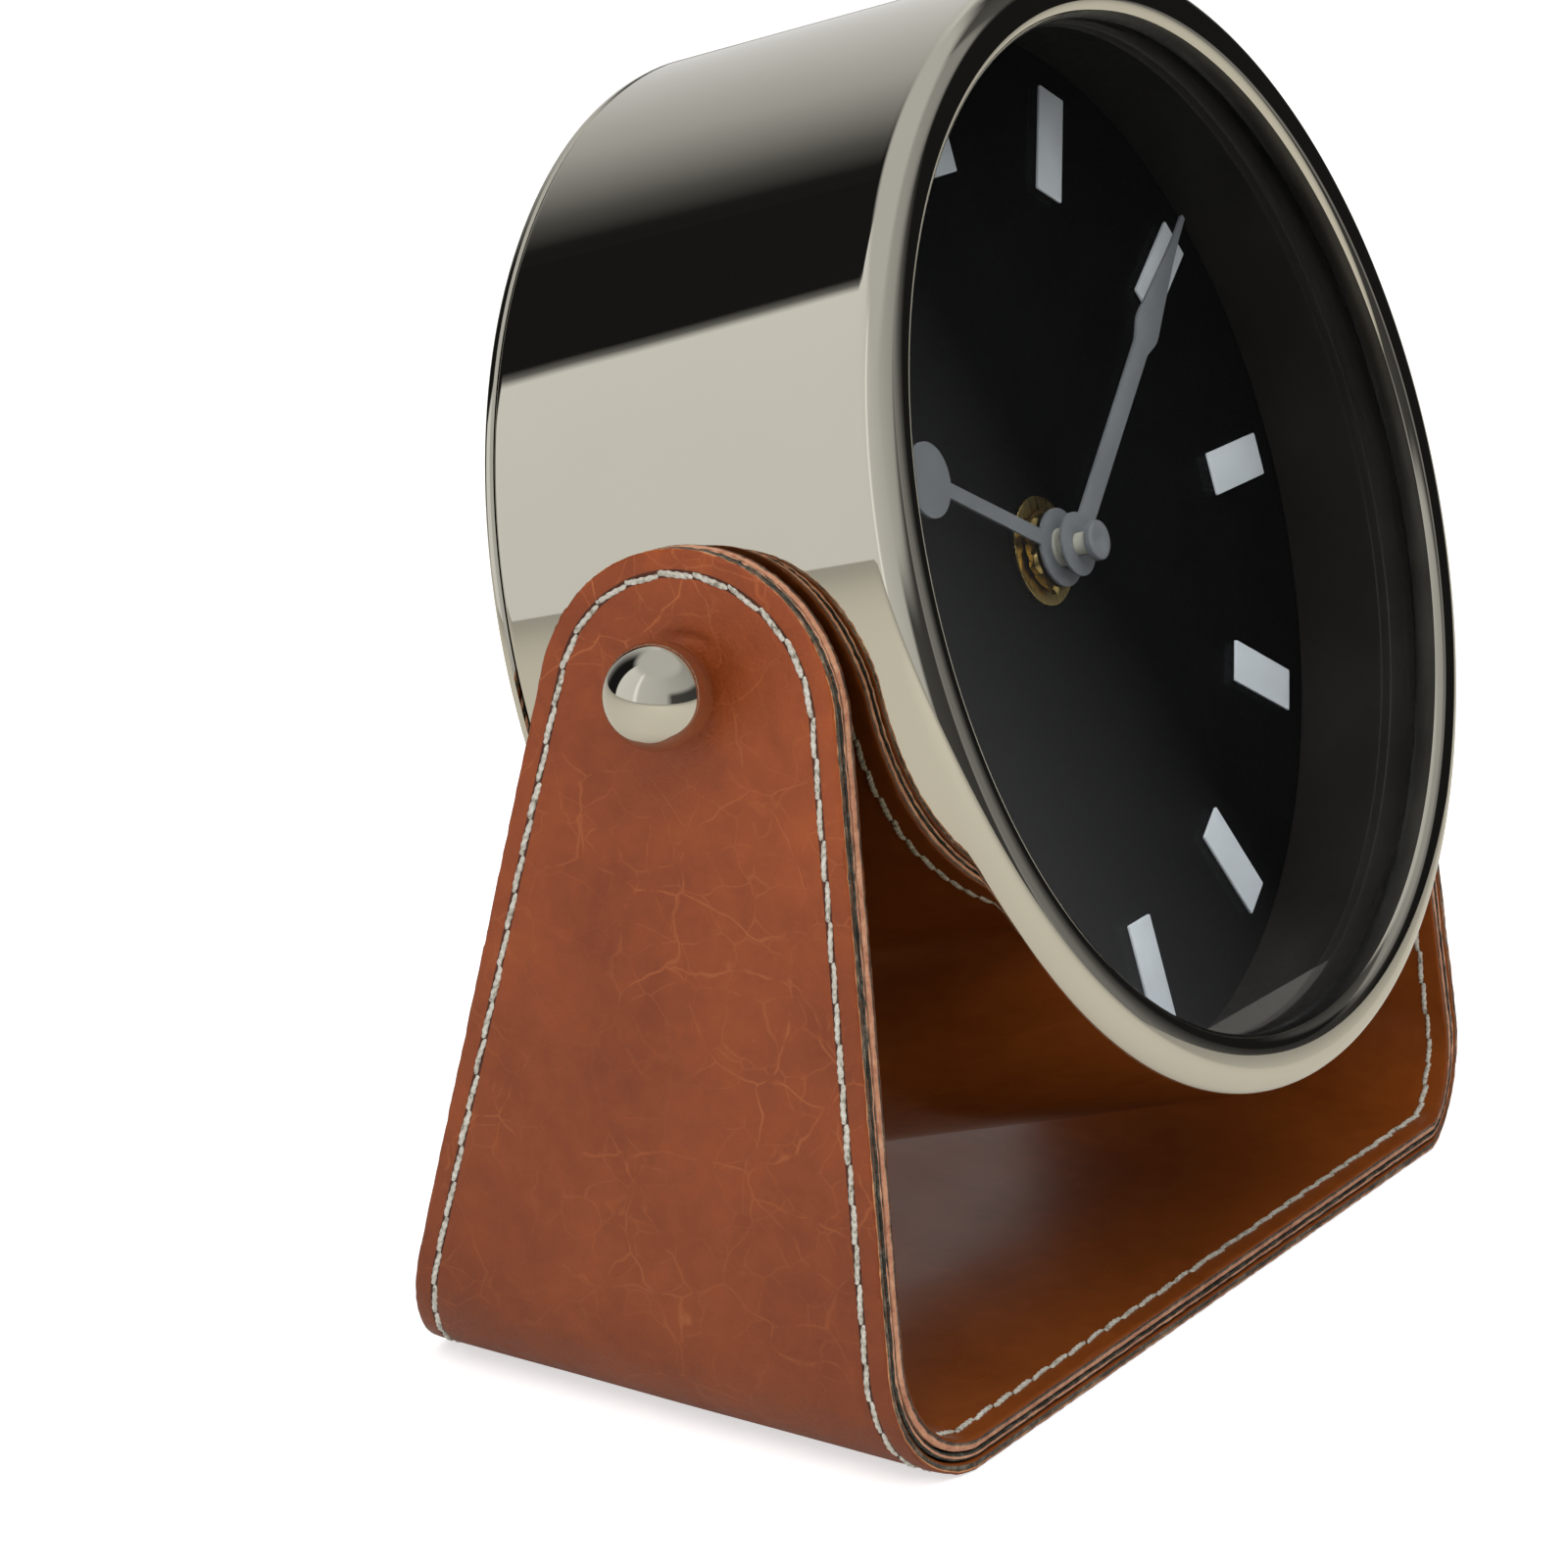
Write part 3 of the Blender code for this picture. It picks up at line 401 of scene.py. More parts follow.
BOARD_GREEN = speckled_material("solder_mask", (0.02, 0.13, 0.05), 0.4, 0.15)
CELL_WRAP = speckled_material("cell_wrap", (0.06, 0.075, 0.11), 0.3, 0.06, 600.0)


# ---- mesh helpers

def add_object(name, data):
    """A new object in the scene's collection."""
    made = bpy.data.objects.new(name, data)
    bpy.context.scene.collection.objects.link(made)
    return made


def add_piece(name, points, faces, materials, kinds=None, sharp=radians(40), matrix=None):
    """A mesh object at the origin, smooth apart from edges sharper than the angle."""
    mesh = bpy.data.meshes.new(name)
    if matrix is not None:
        points = [matrix @ Vector(p) for p in points]
    mesh.from_pydata([tuple(p) for p in points], [], faces)
    for material in materials:
        mesh.materials.append(material)
    if kinds:
        mesh.polygons.foreach_set("material_index", kinds)
    bm = bmesh.new()
    bm.from_mesh(mesh)
    bmesh.ops.remove_doubles(bm, verts=bm.verts, dist=MERGE)
    bmesh.ops.recalc_face_normals(bm, faces=bm.faces)
    bm.to_mesh(mesh)
    bm.free()
    mesh.shade_smooth()
    mesh.set_sharp_from_angle(angle=sharp)
    return add_object(name, mesh)


def finish_piece(piece, body, replaced=()):
    """Put a piece on its body, in place of the CAD nodes it replaces."""
    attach(piece, body)
    if replaced:
        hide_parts(*replaced)
    return piece


def skin(loops, closed=False, capped=True):
    """Faces over a row of loops that all have the same number of points."""
    count = len(loops[0])
    points = [p for loop in loops for p in loop]
    faces = []
    rows = len(loops)
    for i in range(rows if closed else rows - 1):
        here, there = i * count, (i + 1) % rows * count
        for j in range(count):
            k = (j + 1) % count
            faces.append((here + j, here + k, there + k, there + j))
    if capped and not closed:
        faces.append(tuple(range(count))[::-1])
        faces.append(tuple((rows - 1) * count + j for j in range(count)))
    return points, faces


def arc(centre_x, centre_y, radius, start, end, steps):
    """Points of an arc in a plane; angles in degrees, anticlockwise from x."""
    out = []
    for i in range(steps + 1):
        angle = radians(start + (end - start) * i / steps)
        out.append((centre_x + radius * cos(angle), centre_y + radius * sin(angle)))
    return out


def around(radius, z, count):
    """Closed loop about the z axis; its radius is a number or a function of the angle."""
    out = []
    for j in range(count):
        angle = 2 * pi * j / count
        r = radius(angle) if callable(radius) else radius
        out.append((r * cos(angle), r * sin(angle), z))
    return out


def turned(name, profile, material, matrix=FACE, steps=192, closed=False, sharp=radians(40)):
    """Turn a profile of (radius, height) about z of the given frame."""
    smallest = 0.0005 * MM
    loops = [around(max(radius, smallest), height, steps) for radius, height in profile]
    return add_piece(name, *skin(loops, closed, capped=not closed), [material], sharp=sharp,
                     matrix=matrix)


def ring_profile(inner, outer, low, high, edge=0.15 * MM):
    """Closed profile of a flat ring with its four edges rounded."""
    corners = ((outer - edge, high - edge), (outer - edge, low + edge),
               (inner + edge, low + edge), (inner + edge, high - edge))
    out = []
    for quarter, (radius, height) in enumerate(corners):
        out += arc(radius, height, edge, 90 - 90 * quarter, -90 * quarter, 4)
    return out


def rounded_square(half, corner, z, count):
    """Loop round a square with rounded corners, evenly spread by angle."""
    limit = half - corner
    out = []
    for j in range(count):
        angle = 2 * pi * j / count
        c, s = cos(angle), sin(angle)
        r = half / max(abs(c), abs(s))
        x, y = r * c, r * s
        if abs(x) > limit and abs(y) > limit:
            direction = Vector((abs(x) - limit, abs(y) - limit))
            direction.normalize()
            x = (limit + corner * direction.x) * (1 if x > 0 else -1)
            y = (limit + corner * direction.y) * (1 if y > 0 else -1)
        out.append((x, y, z))
    return out


def flat_plate(name, loops, bottom, top, material, matrix, edge=0.08 * MM):
    """Flat piece with rounded edges: the first loop is its outline, others are holes."""
    curve = bpy.data.curves.new(name + "_outline", "CURVE")
    curve.dimensions = "2D"
    curve.fill_mode = "BOTH"
    curve.extrude = (top - bottom) / 2 - edge
    curve.bevel_depth = edge
    curve.bevel_resolution = 2
    curve.offset = -edge
    for loop in loops:
        spline = curve.splines.new("POLY")
        spline.points.add(len(loop) - 1)
        for point, (x, y) in zip(spline.points, loop):
            point.co = (x, y, 0.0, 1.0)
        spline.use_cyclic_u = True
    outline = add_object(name + "_outline", curve)
    bpy.context.view_layer.update()
    evaluated = outline.evaluated_get(bpy.context.evaluated_depsgraph_get())
    mesh = bpy.data.meshes.new_from_object(evaluated)
    lift = Vector((0.0, 0.0, (top + bottom) / 2))
    points = [vertex.co + lift for vertex in mesh.vertices]
    faces = [tuple(face.vertices) for face in mesh.polygons]
    bpy.data.objects.remove(outline, do_unlink=True)
    return add_piece(name, points, faces, [material], sharp=radians(50), matrix=matrix)


def softened(node_name, body, material, width):
    """Copy of a CAD node with its hard edges bevelled."""
    hard = radians(35)
    mesh = NODES[node_name].data.copy()
    mesh.materials.clear()
    mesh.materials.append(material)
    piece = add_object(node_name + "_soft", mesh)
    bm = bmesh.new()
    bm.from_mesh(mesh)
    bmesh.ops.remove_doubles(bm, verts=bm.verts, dist=MERGE)
    bmesh.ops.dissolve_limit(bm, angle_limit=radians(1), verts=bm.verts, edges=bm.edges)
    bm.to_mesh(mesh)
    bm.free()
    mesh.polygons.foreach_set("material_index", [0] * len(mesh.polygons))
    bevel = piece.modifiers.new("soft_edges", "BEVEL")
    bevel.width = width
    bevel.segments = 2
    bevel.limit_method = "ANGLE"
    bevel.angle_limit = hard
    bevel.use_clamp_overlap = True
    mesh.shade_smooth()
    mesh.set_sharp_from_angle(angle=hard)
    return finish_piece(piece, body, [node_name])


# ---- head

def make_drum():
    """Spun drum: rolled rim in front, painted shade inside the lip (a darker copy of the nickel),
    a turned edge at the back.
    """
    seat = GLASS_TOP + 0.3 * MM
    edge = 0.35 * MM
    support = 0.4 * MM
    painted_shade_reach = 0.45 * MM
    profile = arc(DRUM_RADIUS - RIM_OUTER_ROUND, DRUM_FRONT - RIM_OUTER_ROUND,
                  RIM_OUTER_ROUND, 90, 0, 20)
    profile += [(DRUM_RADIUS, DRUM_FRONT - RIM_OUTER_ROUND - support), (DRUM_RADIUS, 0.0),
                (DRUM_RADIUS, DRUM_END + edge + support)]
    profile += arc(DRUM_RADIUS - edge, DRUM_END + edge, edge, 0, -90, 6)
    profile += [(DRUM_RADIUS - WALL, DRUM_END), (DRUM_RADIUS - WALL, seat),
                (RIM_OPENING + 1.0 * MM, seat), (RIM_OPENING + 0.3 * MM, seat + 0.1 * MM),
                (RIM_OPENING, seat + 0.5 * MM)]
    profile += arc(RIM_OPENING + RIM_INNER_ROUND, DRUM_FRONT - RIM_INNER_ROUND,
                   RIM_INNER_ROUND, 180, 90, 14)
    drum = turned("drum_shell", profile, NICKEL, steps=256, closed=True, sharp=radians(50))
    drum.data.materials.append(NICKEL_PAINTED_SHADE)
    # faces inside the lip get the dark nickel as painted shade
    for face in drum.data.polygons:
        middle = TO_FACE @ face.center
        if hypot(middle.x, middle.y) < RIM_OPENING + painted_shade_reach:
            face.material_index = 1
    finish_piece(drum, "head", ["case_drum"])


def make_back_cover():
    """Pressed back: rounded flange, a raised bead and a square well with a rolled lip."""
    count = 192
    edge = 0.6 * MM
    bead, bead_half, bead_height = 66.0 * MM, 1.2 * MM, 0.5 * MM
    well_half, well_corner, well_lip = 26.0 * MM, 3.0 * MM, 0.8 * MM
    front = DRUM_END - 0.3 * MM
    loops = [around(r, z, count)
             for r, z in arc(DRUM_RADIUS - edge, COVER_BACK + edge, edge, 0, -90, 6)]
    for share in range(9):
        angle = pi * share / 8
        loops.append(around(bead + bead_half * cos(angle),
                            COVER_BACK + bead_height * sin(angle), count))
    loops += [around(46.0 * MM, COVER_BACK, count), around(42.0 * MM, COVER_BACK, count)]
    for share in range(5):
        angle = radians(90 * share / 4)
        loops.append(rounded_square(well_half + well_lip * (1 - sin(angle)), well_corner,
                                    COVER_BACK + well_lip * (1 - cos(angle)), count))
    loops += [rounded_square(well_half, well_corner, WELL_END, count),
              rounded_square(well_half + WALL, well_corner, WELL_END, count),
              rounded_square(well_half + WALL, well_corner, front, count),
              around(DRUM_RADIUS - 0.3 * MM, front, count),
              around(DRUM_RADIUS, front - 0.3 * MM, count)]
    cover = add_piece("back_plate", *skin(loops, closed=True), [NICKEL], sharp=radians(38),
                      matrix=FACE)
    finish_piece(cover, "head", ["back_cover"])


def make_glass_and_dial():
    """Glass with bevelled edges, the black sleeve behind it and the dial."""
    radius = face_radius("front_glass")
    edge = 0.4 * MM
    profile = [(0.0, GLASS_TOP), (radius - 2 * edge, GLASS_TOP), (radius - edge, GLASS_TOP),
               (radius, GLASS_TOP - edge), (radius, GLASS_BOTTOM + edge),
               (radius - edge, GLASS_BOTTOM), (radius - 2 * edge, GLASS_BOTTOM),
               (0.0, GLASS_BOTTOM)]
    glass = turned("glass_pane", profile, GLASS, steps=192)
    glass.visible_shadow = False
    finish_piece(glass, "head", ["front_glass"])

    outer = face_radius("inner_sleeve")
    profile = ring_profile(DIAL_VIEW_RADIUS, outer, *levels("inner_sleeve"), 0.2 * MM)
    sleeve = turned("sleeve_wall", profile, SLEEVE_BLACK, steps=256, closed=True)
    finish_piece(sleeve, "head", ["inner_sleeve"])

    profile = ring_profile(NUT_BORE, outer, DIAL_BACK, DIAL_FACE, 0.08 * MM)
    dial = turned("dial_disc", profile, DIAL_BLACK, steps=192, closed=True)
    finish_piece(dial, "head", ["dial"])


def make_marks():
    """Twelve applied hour marks with softly rolled edges."""
    corner = 0.25 * MM
    x = 3.05 * MM - corner
    inner, outer = 51.4 * MM + corner, 66.7 * MM - corner
    outline = []
    for quarter, centre in enumerate(((x, outer), (-x, outer), (-x, inner), (x, inner))):
        outline += arc(*centre, corner, 90 * quarter, 90 * quarter + 90, 3)
    for hour in range(1, 13):
        name = f"hour_mark_{hour:02d}"
        turn = Matrix.Rotation(-(hour * pi / 6 + DIAL_TURN), 4, "Z")
        mark = flat_plate(name + "_bar", [outline], *levels(name), MARK_WHITE, FACE @ turn,
                          0.07 * MM)
        finish_piece(mark, "head", [name])


def hand_turn(name):
    """Direction of a hand in the face frame, from its farthest points."""
    points = face_points(name)
    reach = max(hypot(p.x, p.y) for p in points)
    ends = [p for p in points if hypot(p.x, p.y) > reach - 0.1 * MM]
    tip = sum(ends, Vector()) / len(ends)
    return Matrix.Rotation(atan2(-tip.x, tip.y), 4, "Z")


def hand_side(points):
    """One side of a hand, from the hub to the tip, and its mirror image back."""
    side = [(x * MM, y * MM) for x, y in points]
    return side + [(-x, y) for x, y in reversed(side)]


def make_hands():
    """Hour hand with a round moon, minute hand with a long leaf, and the nut on top."""
    moon, moon_radius = 32.2 * MM, 5.0 * MM
    outline = arc(0, 0, 5.3 * MM, 102, 438, 64)
    outline += arc(0, moon, moon_radius, -78, 78, 32)
    outline += hand_side([(1.05, 38.6), (0.85, 40.6), (0.55, 43.8), (0.3, 44.0)])
    outline += arc(0, moon, moon_radius, 102, 258, 32)
    hole = arc(0, 0, 2.7 * MM, 0, 352.5, 47)
    hour = flat_plate("hour_hand_plate", [outline, hole], *levels("hour_hand"), HAND_GREY,
                      FACE @ hand_turn("hour_hand"))
    finish_piece(hour, "hour_tube", ["hour_hand"])

    outline = arc(0, 0, 4.3 * MM, 114, 426, 56)
    outline += hand_side([(1.7, 20.0), (1.7, 37.0), (2.15, 38.4), (2.6, 39.6), (2.8, 40.6),
                          (2.75, 41.8), (2.4, 44.0), (1.6, 50.0), (0.95, 55.0), (0.6, 59.0),
                          (0.45, 62.8), (0.3, 63.0)])
    hole = arc(0, 0, 1.6 * MM, 0, 352.5, 47)
    minute = flat_plate("minute_hand_plate", [outline, hole], *levels("minute_hand"), HAND_GREY,
                        FACE @ hand_turn("minute_hand"))
    finish_piece(minute, "minute_arbor", ["minute_hand"])

    low, high = levels("hand_nut")
    radius = face_radius("hand_nut")
    dish, edge, foot = 0.12 * MM, 0.35 * MM, 0.1 * MM
    profile = [(0.0, high - dish), (0.8 * MM, high - dish), (1.0 * MM, high)]
    profile += arc(radius - edge, high - edge, edge, 90, 0, 6)
    profile += [(radius, low + foot), (radius - foot, low), (0.0, low)]
    nut = turned("hand_nut_cap", profile, HAND_GREY, steps=64)
    finish_piece(nut, "minute_arbor", ["hand_nut"])


def make_dial_fasteners():
    """Threaded bush, washer, and hexagon nut with chamfered corners."""
    low, high = levels("threaded_bush")
    crest, bore, flange = 4.0 * MM, 2.9 * MM, 6.0 * MM
    flange_top = low + 0.7 * MM
    profile = [(crest - 0.35 * MM, high)]
    z = high - 0.3 * MM
    while z > DIAL_FACE - 1.2 * MM:
        profile += [(crest, z), (crest - 0.22 * MM, z - 0.2 * MM)]
        z -= 0.4 * MM
    profile += [(crest - 0.2 * MM, flange_top), (flange, flange_top), (flange, low),
                (bore, low), (bore, high)]
    bush = turned("bush_thread", profile, BRASS, steps=72, closed=True, sharp=radians(30))
    finish_piece(bush, "head", ["threaded_bush"])

    profile = ring_profile(NUT_BORE, face_radius("dial_washer"), *levels("dial_washer"), 0.12 * MM)
    washer = turned("washer_disc", profile, BRASS, steps=96, closed=True)
    finish_piece(washer, "head", ["dial_washer"])

    low, high = levels("dial_nut")
    corner = face_radius("dial_nut")
    flat = corner * cos(pi / 6)
    chamfer, countersink = 0.35 * MM, 0.3 * MM
    start = radians(12)

    def hexagon(limit):
        return lambda angle: min(flat / cos((angle - start) % (pi / 3) - pi / 6), limit)

    rows = [(NUT_BORE, low), (hexagon(flat), low), (hexagon(corner), low + chamfer),
            (hexagon(corner), high - chamfer), (hexagon(flat), high),
            (NUT_BORE + countersink, high), (NUT_BORE, high - countersink)]
    loops = [around(radius, z, 96) for radius, z in rows]
    nut = add_piece("nut_hexagon", *skin(loops, closed=True), [BRASS], sharp=radians(25),
                    matrix=FACE)
    finish_piece(nut, "head", ["dial_nut"])


def make_movement():
    """Movement parts seen through the well, with their moulded edges softened."""
    soft = [("movement_case", "black_plastic", BLACK_PLASTIC, 0.5 * MM),
            ("movement_lid", "black_plastic", BLACK_PLASTIC, 0.35 * MM),
            ("train_bridge", "black_plastic", BLACK_PLASTIC, 0.2 * MM),
            ("stator", "steel", STEEL, 0.15 * MM),
            ("circuit_board", "circuit_board", BOARD_GREEN, 0.1 * MM),
            ("cell_contact_minus", "brass", BRASS, 0.12 * MM),
            ("cell_contact_plus", "brass", BRASS, 0.12 * MM)]
    for name, slot, material, width in soft:
        softened(name, "head", material, width)


def make_set_knob():
    """Time-set knob: a dished, fluted grip on a plain stem."""
    end = levels("time_set_knob")[0]
    grip, stem, centre = 5.0 * MM, 1.0 * MM, 0.02 * MM
    dish, edge, flute = 0.9 * MM, 0.5 * MM, 0.35 * MM

    def fluted(radius, depth):
        return lambda angle: radius - depth * (0.5 - 0.5 * cos(24 * angle))

    rows = [(centre, end + dish), (3.0 * MM, end + dish), (3.6 * MM, end),
            (fluted(4.5 * MM, 0.1 * MM), end), (fluted(grip, flute), end + edge),
            (fluted(grip, flute), WELL_END - edge), (fluted(4.5 * MM, 0.1 * MM), WELL_END),
            (stem, WELL_END), (stem, WELL_END + 10.0 * MM), (centre, WELL_END + 10.0 * MM)]
    loops = [around(radius, z, 96) for radius, z in rows]
    axis = Vector(JOINTS["set_knob_turn"]["pos_m"])
    knob = add_piece("set_knob_grip", *skin(loops), [BLACK_PLASTIC], sharp=radians(35),
                     matrix=Matrix.Translation(axis - FACE.translation) @ FACE)
    finish_piece(knob, "set_knob", ["time_set_knob"])


def make_cell():
    """AA cell in its wrap, with a plus cap and a dished minus end."""
    low, high = face_box("cell")
    radius = (high.z - low.z) / 2
    half = (high.x - low.x) / 2
    profile = [(0.0, half), (2.5 * MM, half), (2.8 * MM, half - 0.3 * MM),
               (2.8 * MM, half - 1.0 * MM), (5.8 * MM, half - 1.1 * MM)]
    profile += arc(radius - 0.7 * MM, half - 1.8 * MM, 0.7 * MM, 80, 0, 6)
    profile += [(radius, -half + 1.0 * MM)]
    profile += arc(radius - 0.8 * MM, -half + 0.8 * MM, 0.8 * MM, 0, -90, 6)
    profile += [(4.0 * MM, -half), (3.6 * MM, -half + 0.2 * MM), (0.0, -half + 0.2 * MM)]
    place = FACE @ Matrix.Translation((low + high) / 2) @ Matrix.Rotation(pi / 2, 4, "Y")
    cell = turned("cell_body", profile, CELL_WRAP, place, 96)
    finish_piece(cell, "head", ["cell"])


# ---- pivots

def make_pivots():
    """Ball knobs and fibre washers on the pivot axis."""
    foot = STAND_HALF_WIDTH + 0.5 * MM - KNOB_X
    foot_angle = degrees(asin(foot / KNOB_RADIUS))
    foot_radius = KNOB_RADIUS * cos(radians(foot_angle))
    bore = 2.3 * MM
    ball_profile = [(0.0, KNOB_RADIUS)] + arc(0.0, 0.0, KNOB_RADIUS, 88, foot_angle + 2, 48)
    ball_profile += [(foot_radius - 0.15 * MM, foot), (bore, foot), (bore, -0.5 * MM),
                     (0.0, -0.5 * MM)]
    for name, side in (("left", -1), ("right", 1)):
        turn = Matrix.Rotation(side * pi / 2, 4, "Y")
        place = Matrix.Translation((side * KNOB_X, 0.0, PIVOT_HEIGHT)) @ turn
        ball = turned(f"ball_{name}", ball_profile, NICKEL_BALL, place, 96, sharp=radians(30))
        finish_piece(ball, f"{name}_knob", [f"ball_knob_{name}"])

        near, far = sorted(abs(corner.x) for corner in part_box(f"pivot_washer_{name}"))
        axle = Matrix.Translation((0.0, 0.0, PIVOT_HEIGHT)) @ turn
        washer = turned(f"washer_{name}", ring_profile(bore, 4.5 * MM, near, far, 0.2 * MM),
                        BLACK_PLASTIC, axle, 64, closed=True)
        finish_piece(washer, "head", [f"pivot_washer_{name}"])


# ---- stand

class Strap:
    """Outer surface of the strap: a flat base, two bends and two leaning arms.

    Distance s runs along the outer surface from the middle of the base.
    """

    def __init__(self):
        self.sweep = pi / 2 + ARM_LEAN
        bend_top = BEND_RADIUS * (1 + sin(ARM_LEAN))
        arm_to_pivot = (PIVOT_HEIGHT - bend_top) / cos(ARM_LEAN)
        self.flat = (STAND_HALF_WIDTH + arm_to_pivot * sin(ARM_LEAN)
                     - BEND_RADIUS * cos(ARM_LEAN))
        self.bend_end = self.flat + BEND_RADIUS * self.sweep
        self.pivot = self.bend_end + arm_to_pivot
        self.circle = self.pivot - ARM_TOP_BELOW_PIVOT
        run = self.circle - self.flat
        self.taper = acos(ARM_TOP_RADIUS / hypot(BASE_HALF_DEPTH, run)) \
            - atan2(run, BASE_HALF_DEPTH)

    def place(self, s, v, inset):
        """Point of the strap at distance s, across v, set in from the outer surface."""
        side = 1 if s >= 0 else -1
        s = abs(s)
        if s <= self.flat:
            return Vector((side * s, v, inset))
        angle = min((s - self.flat) / BEND_RADIUS, self.sweep)
        radius = BEND_RADIUS - inset
        x = self.flat + radius * sin(angle)
        z = BEND_RADIUS - radius * cos(angle)
        beyond = max(s - self.bend_end, 0.0)
        return Vector((side * (x + beyond * cos(angle)), v, z + beyond * sin(angle)))

    def half_width(self, s):
        """Half the width of the strap at distance s, below the round top."""
        if s <= self.flat:
            return BASE_HALF_DEPTH
        above = s - self.circle
        return ARM_TOP_RADIUS / cos(self.taper) - above * tan(self.taper)

    def edge(self, row):
        """Edge point (s, v) and the inward direction there, for a row from 0 to 2.

        Rows below 1 climb the straight sides; rows from 1 to 2 go round the top.
        """
        if row >= 1.0:
            angle = self.taper + (pi / 2 - self.taper) * (row - 1.0)
            inward = (-sin(angle), -cos(angle))
            return (self.circle + ARM_TOP_RADIUS * sin(angle),
                    ARM_TOP_RADIUS * cos(angle)), inward
        end = self.circle + ARM_TOP_RADIUS * sin(self.taper)
        s = end * row
        blend = min(max((s - self.flat + 6 * MM) / (12 * MM), 0.0), 1.0)
        tilt = self.taper * blend
        return (s, self.half_width(s)), (-sin(tilt), -cos(tilt))

    def rows(self, straight=150, round_top=44):
        """Rows from the middle of the base to the middle of the round top."""
        return [i / straight for i in range(straight)] \
            + [1.0 + i / round_top for i in range(round_top + 1)]


STRAP = Strap()
BAND = 5.0 * MM
CREASE_RING = 6.1 * MM
THREAD_HALF_WIDTH = 0.27 * MM
THREAD_HALF_HEIGHT = 0.20 * MM
THREAD_SINK = 0.26 * MM
THREAD_RISE = 0.34 * MM


def hump(distance, width):
    """Bell curve: 1 in the middle, fading out over the width."""
    return exp(-(distance / width) ** 2)


def swell(s, v, e):
    """Height of the outer leather over its plain surface, e being the distance to the edge.

    It is pulled down along the stitching and at the edge, dishes in under the ball knobs
    and waves very slightly.
    """
    waves, seam, edge, ring, seat = 0.10 * MM, 0.16 * MM, 0.10 * MM, 0.35 * MM, 0.12 * MM
    from_pivot = hypot(abs(s) - STRAP.pivot, v)
    lift = waves * noise.noise(Vector((s * 45, v * 45, 0.0))) - 0.08 * MM
    lift -= seam * hump(e - STITCH_INSET, 0.55 * MM) + edge * hump(e, 0.9 * MM)
    lift -= ring * hump(from_pivot - CREASE_RING, 0.6 * MM)
    if from_pivot < CREASE_RING:
        lift -= seat
    return lift


def layer_columns(thickness, strips, groove):
    """Columns of a layer's cross-section on one side, from the middle of the outer face
    round the edge to the middle of the inner face: (kind, amount, depth, strip).

    A share is a part of the half width inside the band along the edge; an edge column
    lies at a distance from the edge.  Strips are material indices across the cut edge,
    groove is the one under the thread, a darker leather as painted shade.
    """
    columns = [("share", i / 9, 0.0, 0) for i in range(9)]
    for e in (5.0, 4.5, 4.0, 3.7, 3.5, 3.25, 3.0, 2.75, 2.5, 2.3, 2.0, 1.5, 1.0, 0.7):
        columns.append(("edge", e * MM, 0.0, groove if 2.6 < e < 3.4 else 0))
    corner = 0.3 * MM
    rounding = [(corner * (1 - sin(radians(90 * i / 4))), corner * (1 - cos(radians(90 * i / 4))))
                for i in range(5)]
    columns += [("edge", inset, depth, 0) for inset, depth in rounding]
    last = max(strips) + 1
    half_steps = 2 * len(strips)
    for step in range(1, half_steps):
        depth = corner + (thickness - 2 * corner) * step / half_steps
        columns.append(("edge", 0.0, depth, strips[(step - 1) // 2]))
    for i, (depth_left, inset) in enumerate(rounding):
        columns.append(("edge", inset, thickness - depth_left, strips[-1] if i == 0 else last))
    columns += [("edge", e * MM, thickness, last) for e in (1.0, 2.0, 3.0, 5.0)]
    columns += [("share", i / 5, thickness, last) for i in (4, 3, 2, 1, 0)]
    return columns


def strap_layer(name, start, thickness, materials, strips, swollen, seed, ragged, groove=0):
    """One layer of the strap as a closed skin with a rounded, slightly ragged edge."""
    columns = layer_columns(thickness, strips, groove)
    rows = STRAP.rows()
    both_arms = [-row for row in reversed(rows[1:])] + rows
    both_flanks = [(c, 1) for c in columns] + [(c, -1) for c in reversed(columns[1:-1])]
    loops = []
    for row in both_arms:
        (s_edge, v_edge), (ds, dv) = STRAP.edge(abs(row))
        side = 1 if row >= 0 else -1
        s_band, v_band = s_edge + ds * BAND, max(v_edge + dv * BAND, 0.0)
        loop = []
        for (kind, amount, depth, _), flank in both_flanks:
            if kind == "share":
                s, v, e = s_band, v_band * amount, BAND + v_band * (1 - amount)
            else:
                e = rough = amount
                if 0.0 < depth < thickness and amount < 0.35 * MM:
                    torn = noise.noise(Vector((row * 90 * side, depth * 2500, seed + flank)))
                    rough += abs(torn * ragged)
                s, v = s_edge + ds * rough, max(v_edge + dv * rough, 0.0)
            lift = 0.0
            if swollen and depth < thickness / 2 and abs(s) >= STRAP.flat + 4 * MM:
                lift = swell(side * s, flank * v, e)
            loop.append(STRAP.place(side * s, flank * v, start + depth - lift))
        loops.append(loop)
    points, faces = skin(loops, capped=False)
    strip_of = [column[3] for column, _ in both_flanks]
    kinds = [max(pair) for pair in zip(strip_of, strip_of[1:] + strip_of[:1])]
    return add_piece(name, points, faces, materials, kinds * (len(loops) - 1), sharp=radians(60))


